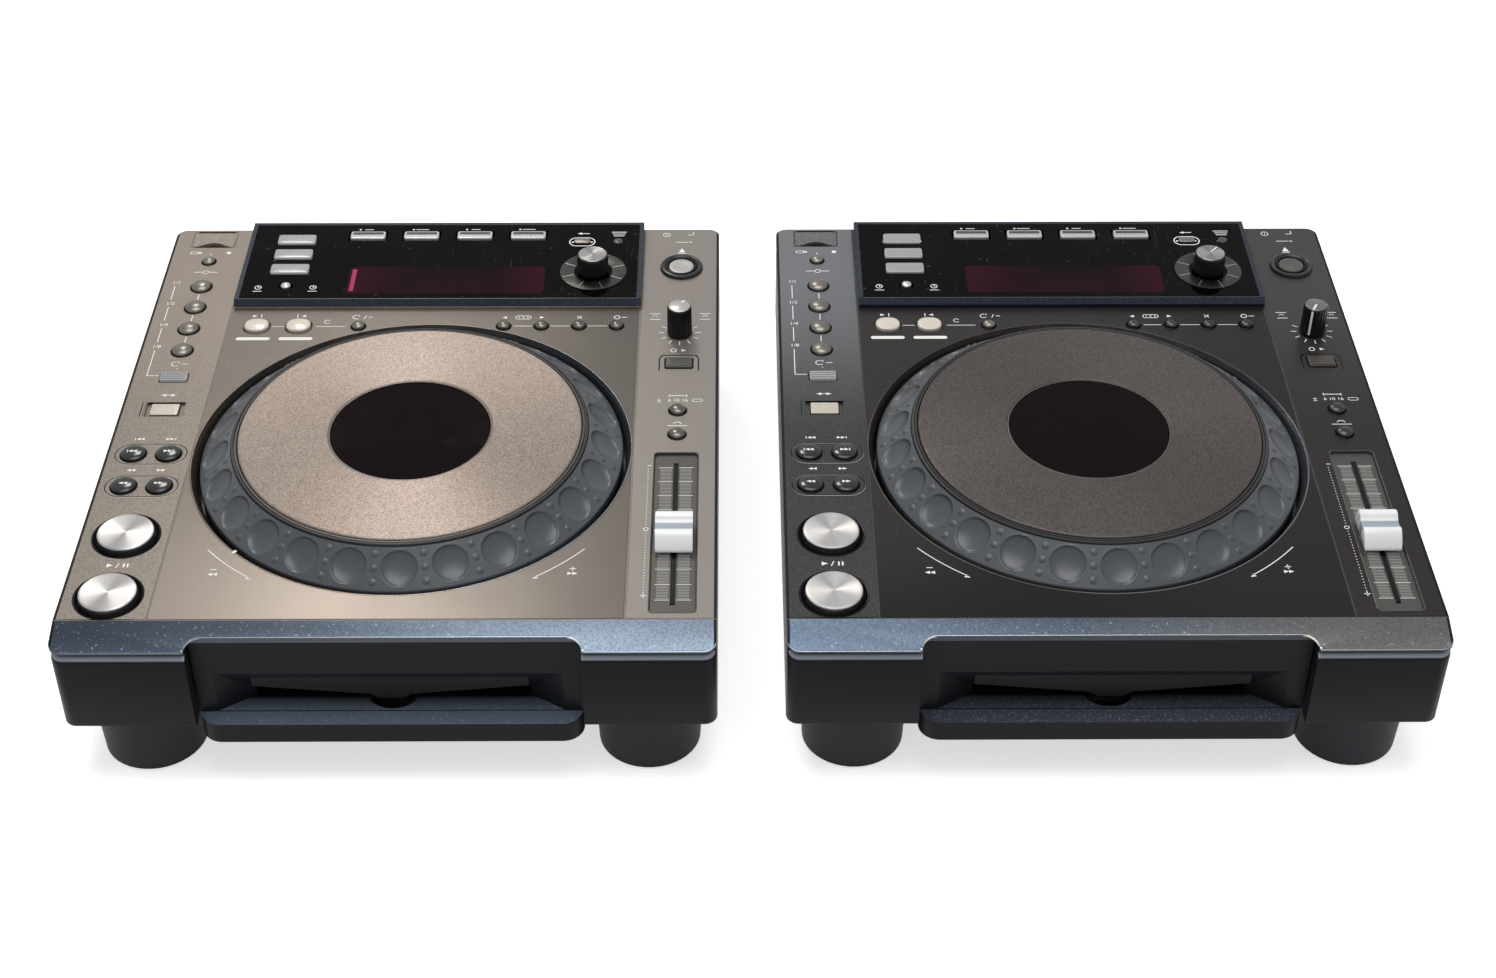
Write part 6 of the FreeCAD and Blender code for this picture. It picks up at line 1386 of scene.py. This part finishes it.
MIDDLE_MARKS = (
    (pill, -94.6, 240.0, 18.0, 2.6, 1.3), (pill, -72.0, 240.0, 18.0, 2.6, 1.3),
    (arrow, -96.4, 261.0, 2.4), (bar, -93.0, 261.0, 0.5, 3.0),
    (bar, -73.6, 261.0, 0.5, 3.0), (arrow, -70.4, 261.0, 2.4, BACK),
    (bar, -82.95, KEY_ROW_Y, 6.4, 0.4), (bar, -54.8, KEY_ROW_Y, 15.6, 0.4),
    (arc, -57.0, 255.6, 1.5, 0.4, 0.6, 5.0),
    (arc, RELOOP_X - 2.2, 259.8, 1.7, 0.45, 0.6, 5.0), (arrow, RELOOP_X - 0.7, 261.0, 1.5, -1.0),
    (bar, RELOOP_X + 2.8, 259.8, 0.45, 3.0, -0.4), (bar, RELOOP_X + 5.6, 259.8, 2.2, 0.5),
    *((bar, x + 10.05, KEY_ROW_Y, length, 0.4) for x, length in zip(CALL_XS, (9.4, 10.4, 10.4))),
    (arrow, CALL_XS[0], 259.2, 2.4, BACK), (arrow, CALL_XS[1], 259.2, 2.4),
    (box_mark, CALL_MIDDLE, 259.2, 8.4, 3.4, 1.2, 0.4), (digits, CALL_MIDDLE, 259.1, "1 2 3", 2.9),
    *((bar, CALL_XS[2], 259.2, 3.4, 0.5, turn) for turn in (0.785, -0.785)),
    (circle, CALL_XS[3], 259.2, 1.5, 0.5), (bar, CALL_XS[3] + 4.0, 259.2, 3.0, 0.5),
    (turn_mark, 0.0, JOG_Y, -139.5, True), (turn_mark, 0.0, JOG_Y, -55.5, False),
    (double_arrow, -84.5, 49.2, 2.4, True), (double_arrow, 84.5, 49.2, 2.4),
    (bar, -84.5, 52.6, 3.0, 0.5), (bar, 84.5, 52.6, 3.0, 0.5), (bar, 84.5, 52.6, 0.5, 3.0),
)
RIGHT_MARKS = (
    *((bar, -13.7, y, 0.5, 0.5) for y in (35.2 + 92.8 * i / 45 for i in range(46)) if abs(y - 81.5) > 2.4),
    (circle, -13.7, 81.5, 1.1, 0.4), (bar, -13.1, 130.6, 2.2, 0.45),
    (bar, -13.7, 33.2, 3.0, 0.45), (bar, -13.7, 33.2, 0.45, 3.0),
    (digits, 0.0, 184.6, "6 10 16", 3.4), (bar, -9.6, 184.8, 2.0, 0.4), (bar, -9.6, 184.8, 0.4, 2.0),
    (bar, -9.6, 183.2, 2.0, 0.4), (box_mark, 10.0, 184.6, 5.4, 2.6, 1.2, 0.35),
    (bar, 0.0, 188.6, 9.0, 0.55), (bar, -4.5, 188.6, 0.55, 2.0), (bar, 4.5, 188.6, 0.55, 2.0),
    (arc, 0.0, 164.0, 2.2, 0.5, 0.4, 2.3), (bar, 0.0, 163.2, 10.0, 0.5),
    *((spoke, 0.0, VINYL_Y, 9.6, 3.0, 0.5, math.radians(-212.0 + 30.5 * i)) for i in range(9)),
    (bar, -13.4, 262.4, 5.6, 0.5), (bar, -13.4, 257.2, 5.6, 0.5), (arc, -13.4, 259.6, 1.1, 0.35, 0.0, BACK),
    (bar, 13.4, 262.4, 5.6, 0.5), (bar, 13.4, 257.2, 5.6, 0.5), (arc, 13.4, 259.6, 1.1, 0.35, 0.0, BACK),
    (circle, -3.0, 228.6, 1.4, 0.45), (arrow, 2.4, 228.6, 2.4),
    (arrow, 0.0, 324.4, 4.0, UP), (bar, 0.0, 321.4, 4.2, 0.7),
    (circle, -8.8, 340.2, 1.9, 0.4), (bar, -8.8, 340.4, 0.4, 2.0),
    (bar, 4.6, 340.0, 3.4, 0.5), (bar, 6.2, 341.4, 0.5, 3.0),
    (bar, 0.0, 332.6, 7.0, 0.5), (arrow, 5.0, 332.6, 1.6),
)
GLASS_MARKS = [(box_mark, 76.3, MENU_SIDE_Y, 14.6, 8.8, 4.3, 0.6), (bar, 77.6, 334.0, 5.0, 0.55),
               (arrow, 74.6, 334.0, 2.4, BACK)]
GLASS_MARKS += [(bar, 96.6, 335.4 - row * 1.9, 8.4 - row * 1.2, 0.55) for row in (0, 1, 2)]
for mark_x in (-97.4, -67.6):
    GLASS_MARKS += [(circle, mark_x, 281.0, 1.7, 0.45), (bar, mark_x, 281.5, 0.4, 1.6),
                    (bar, mark_x + 0.5, 281.0, 1.2, 0.4), (bar, mark_x, 277.4, 5.0, 0.5)]
for mark_x, mark_length in zip(MENU_XS, (5.0, 7.2, 5.0, 7.2)):
    GLASS_MARKS += [(bar, mark_x, 338.4, mark_length, 0.5), (bar, mark_x - 5.0, 338.4, 1.1, 1.1)]


def make_marks():
    shape = build((draw, DECK_MARK, LEFT_X, LEFT_MARKS), (draw, DECK_MARK, 0.0, MIDDLE_MARKS),
                  (draw, DECK_MARK, RIGHT_X, RIGHT_MARKS), (draw, GLASS_MARK, 0.0, GLASS_MARKS))
    fixed("printed_marks", shape, "key_ivory", "legend_white")
    shape = bmesh.new()
    # light: a painted highlight, a pale outline set a little towards the front of each recess round the
    # search keys, showing along its lower edge
    light = bmesh.new()
    for y in SEARCH_YS:
        box_mark(shape, TOP, LEFT_X, y, 36.4, 16.6, 8.3, 0.55)
        box_mark(light, TOP - 0.01, LEFT_X + 0.1, y - 0.4, 36.4, 16.6, 8.3, 0.4)
    outer = ((-10.6, 210.6), (-10.6, 221.6), (-9.0, 224.6), (9.0, 224.6), (10.6, 221.6), (10.6, 210.6))
    inner = ((-9.9, 210.6), (-9.9, 221.6), (-8.3, 223.9), (8.3, 223.9), (9.9, 221.6), (9.9, 210.6))
    stamp(shape, TOP, [(RIGHT_X + x, y) for x, y in outer + inner[::-1]])
    bar(shape, TOP, -142.0, DIRECTION_Y, 0.5, 12.0)
    fixed("recess_light", light, "deck_charcoal", "recess_light")
    fixed("engraved_lines", shape, "deck_charcoal", "groove_black")
    shape = build((spoke, TOP + 0.12, 0.0, JOG_Y, WELL - 0.2, 2.4, 1.5, math.atan2(66.3 - JOG_Y, -75.7)))
    fixed("index_tick", shape, "key_ivory", "legend_white", sides=("left",))


def make_display():
    """The display field behind the glass, with its bright strip, and the lines by the glass."""
    trim = ((267.5, 87.3), (267.85, 87.3), (267.85, 88.75), (267.5, 88.6))
    fixed("display_field", build((pill, GLASS, 4.0, DISPLAY_Y, 107.0, 26.0, 3.0)), "display_glass",
          "display_field")
    fixed("display_strip", build((bar, GLASS_MARK, -46.8, DISPLAY_Y, 2.4, 21.0)), "display_glass",
          "display_strip", sides=("left",))
    fixed("display_trim", build((extruded, trim, -108.8, 110.4)), "housing_slate", "display_trim",
          sides=("left",))
    fixed("glass_edge", build((bar, GLASS_MARK, 0.8, 270.2, 214.0, 0.35)), "display_glass", "window_hairline")


make_marks()
make_display()

# ---------------------------------------------------------------- camera, floor and light
IMAGE_WIDTH = 1496.0
FOCAL_PIXELS = 2421.2
SENSOR = 36.0
CAMERA_SPOT = (-8.0, -984.5, 831.7)  # millimetres
PITCH_DOWN = 38.871
YAW = 0.424
ROLL = 0.123
FLOOR_GLOW = 0.62
WORLD_LIGHT = 0.40


def make_camera():
    pitch, yaw, roll = (math.radians(angle) for angle in (PITCH_DOWN, YAW, ROLL))
    ahead = Vector((math.sin(yaw) * math.cos(pitch), math.cos(yaw) * math.cos(pitch), -math.sin(pitch)))
    across = Vector((math.cos(yaw), -math.sin(yaw), 0.0))
    up = across.cross(ahead)
    tilted = across * math.cos(roll) + up * math.sin(roll)
    upright = up * math.cos(roll) - across * math.sin(roll)
    data = bpy.data.cameras.new("camera")
    data.sensor_width = SENSOR
    data.lens = FOCAL_PIXELS / IMAGE_WIDTH * SENSOR
    camera = new_object("camera", data)
    turned_to = Matrix((tilted, upright, -ahead)).transposed().to_4x4()
    camera.matrix_world = Matrix.Translation(Vector(CAMERA_SPOT) * MM) @ turned_to
    bpy.context.scene.camera = camera


def seen_share(tree):
    """1 for the rays that see the backdrop: camera, glossy and transmission."""
    rays = tree.nodes.new("ShaderNodeLightPath")
    total = rays.outputs["Is Camera Ray"]
    for name in ("Is Glossy Ray", "Is Transmission Ray"):
        node = tree.nodes.new("ShaderNodeMath")
        node.operation = "MAXIMUM"
        tree.links.new(total, node.inputs[0])
        tree.links.new(rays.outputs[name], node.inputs[1])
        total = node.outputs[0]
    return total


def make_floor():
    """A pale floor that keeps the shadow."""
    mesh = bpy.data.meshes.new("floor")
    shape = bmesh.new()
    bmesh.ops.create_grid(shape, x_segments=8, y_segments=8, size=6.0)
    shape.to_mesh(mesh)
    shape.free()
    paint = Paint("floor_pale", 0.9, 0.0, 0.1)
    paint.colour(paint.mix(paint.grain(3.0, 2.0, 0.3, 0.7), (0.80, 0.80, 0.80), (0.82, 0.82, 0.82)))
    paint.set("Emission Color", (1.0, 0.995, 0.99))
    paint.set("Emission Strength", paint.times(seen_share(paint.tree), FLOOR_GLOW))
    mesh.materials.append(paint.material)
    new_object("floor", mesh)


def make_world():
    """White to the camera and to reflections, softer as a light."""
    world = bpy.data.worlds.new("studio")
    world.use_nodes = True
    tree = world.node_tree
    background = tree.nodes["Background"]
    white = tree.nodes.new("ShaderNodeMapRange")
    tree.links.new(seen_share(tree), white.inputs["Value"])
    white.inputs["To Min"].default_value = WORLD_LIGHT
    white.inputs["To Max"].default_value = 1.0
    tree.links.new(white.outputs["Result"], background.inputs["Strength"])
    background.inputs["Color"].default_value = (1.0, 1.0, 1.0, 1.0)
    bpy.context.scene.world = world


def area_light(name, place, target, width, height, power, colour=(1.0, 1.0, 1.0)):
    data = bpy.data.lights.new(name, "AREA")
    data.shape = "RECTANGLE"
    data.size = width
    data.size_y = height
    data.energy = power
    data.color = colour
    light = new_object(name, data)
    light.location = place
    light.rotation_mode = "QUATERNION"
    light.rotation_quaternion = (Vector(target) - Vector(place)).to_track_quat("-Z", "Y")


make_camera()
make_floor()
make_world()
area_light("overhead", (-0.05, -0.1, 2.0), (0.0, 0.0, 0.05), 1.5, 1.3, 26.0)
area_light("rear_softbox", (-0.46, 1.41, 1.61), (-0.17, -0.09, 0.1), 0.36, 0.42, 9.0, (1.0, 0.93, 0.84))

bpy.context.scene.view_settings.view_transform = "Standard"
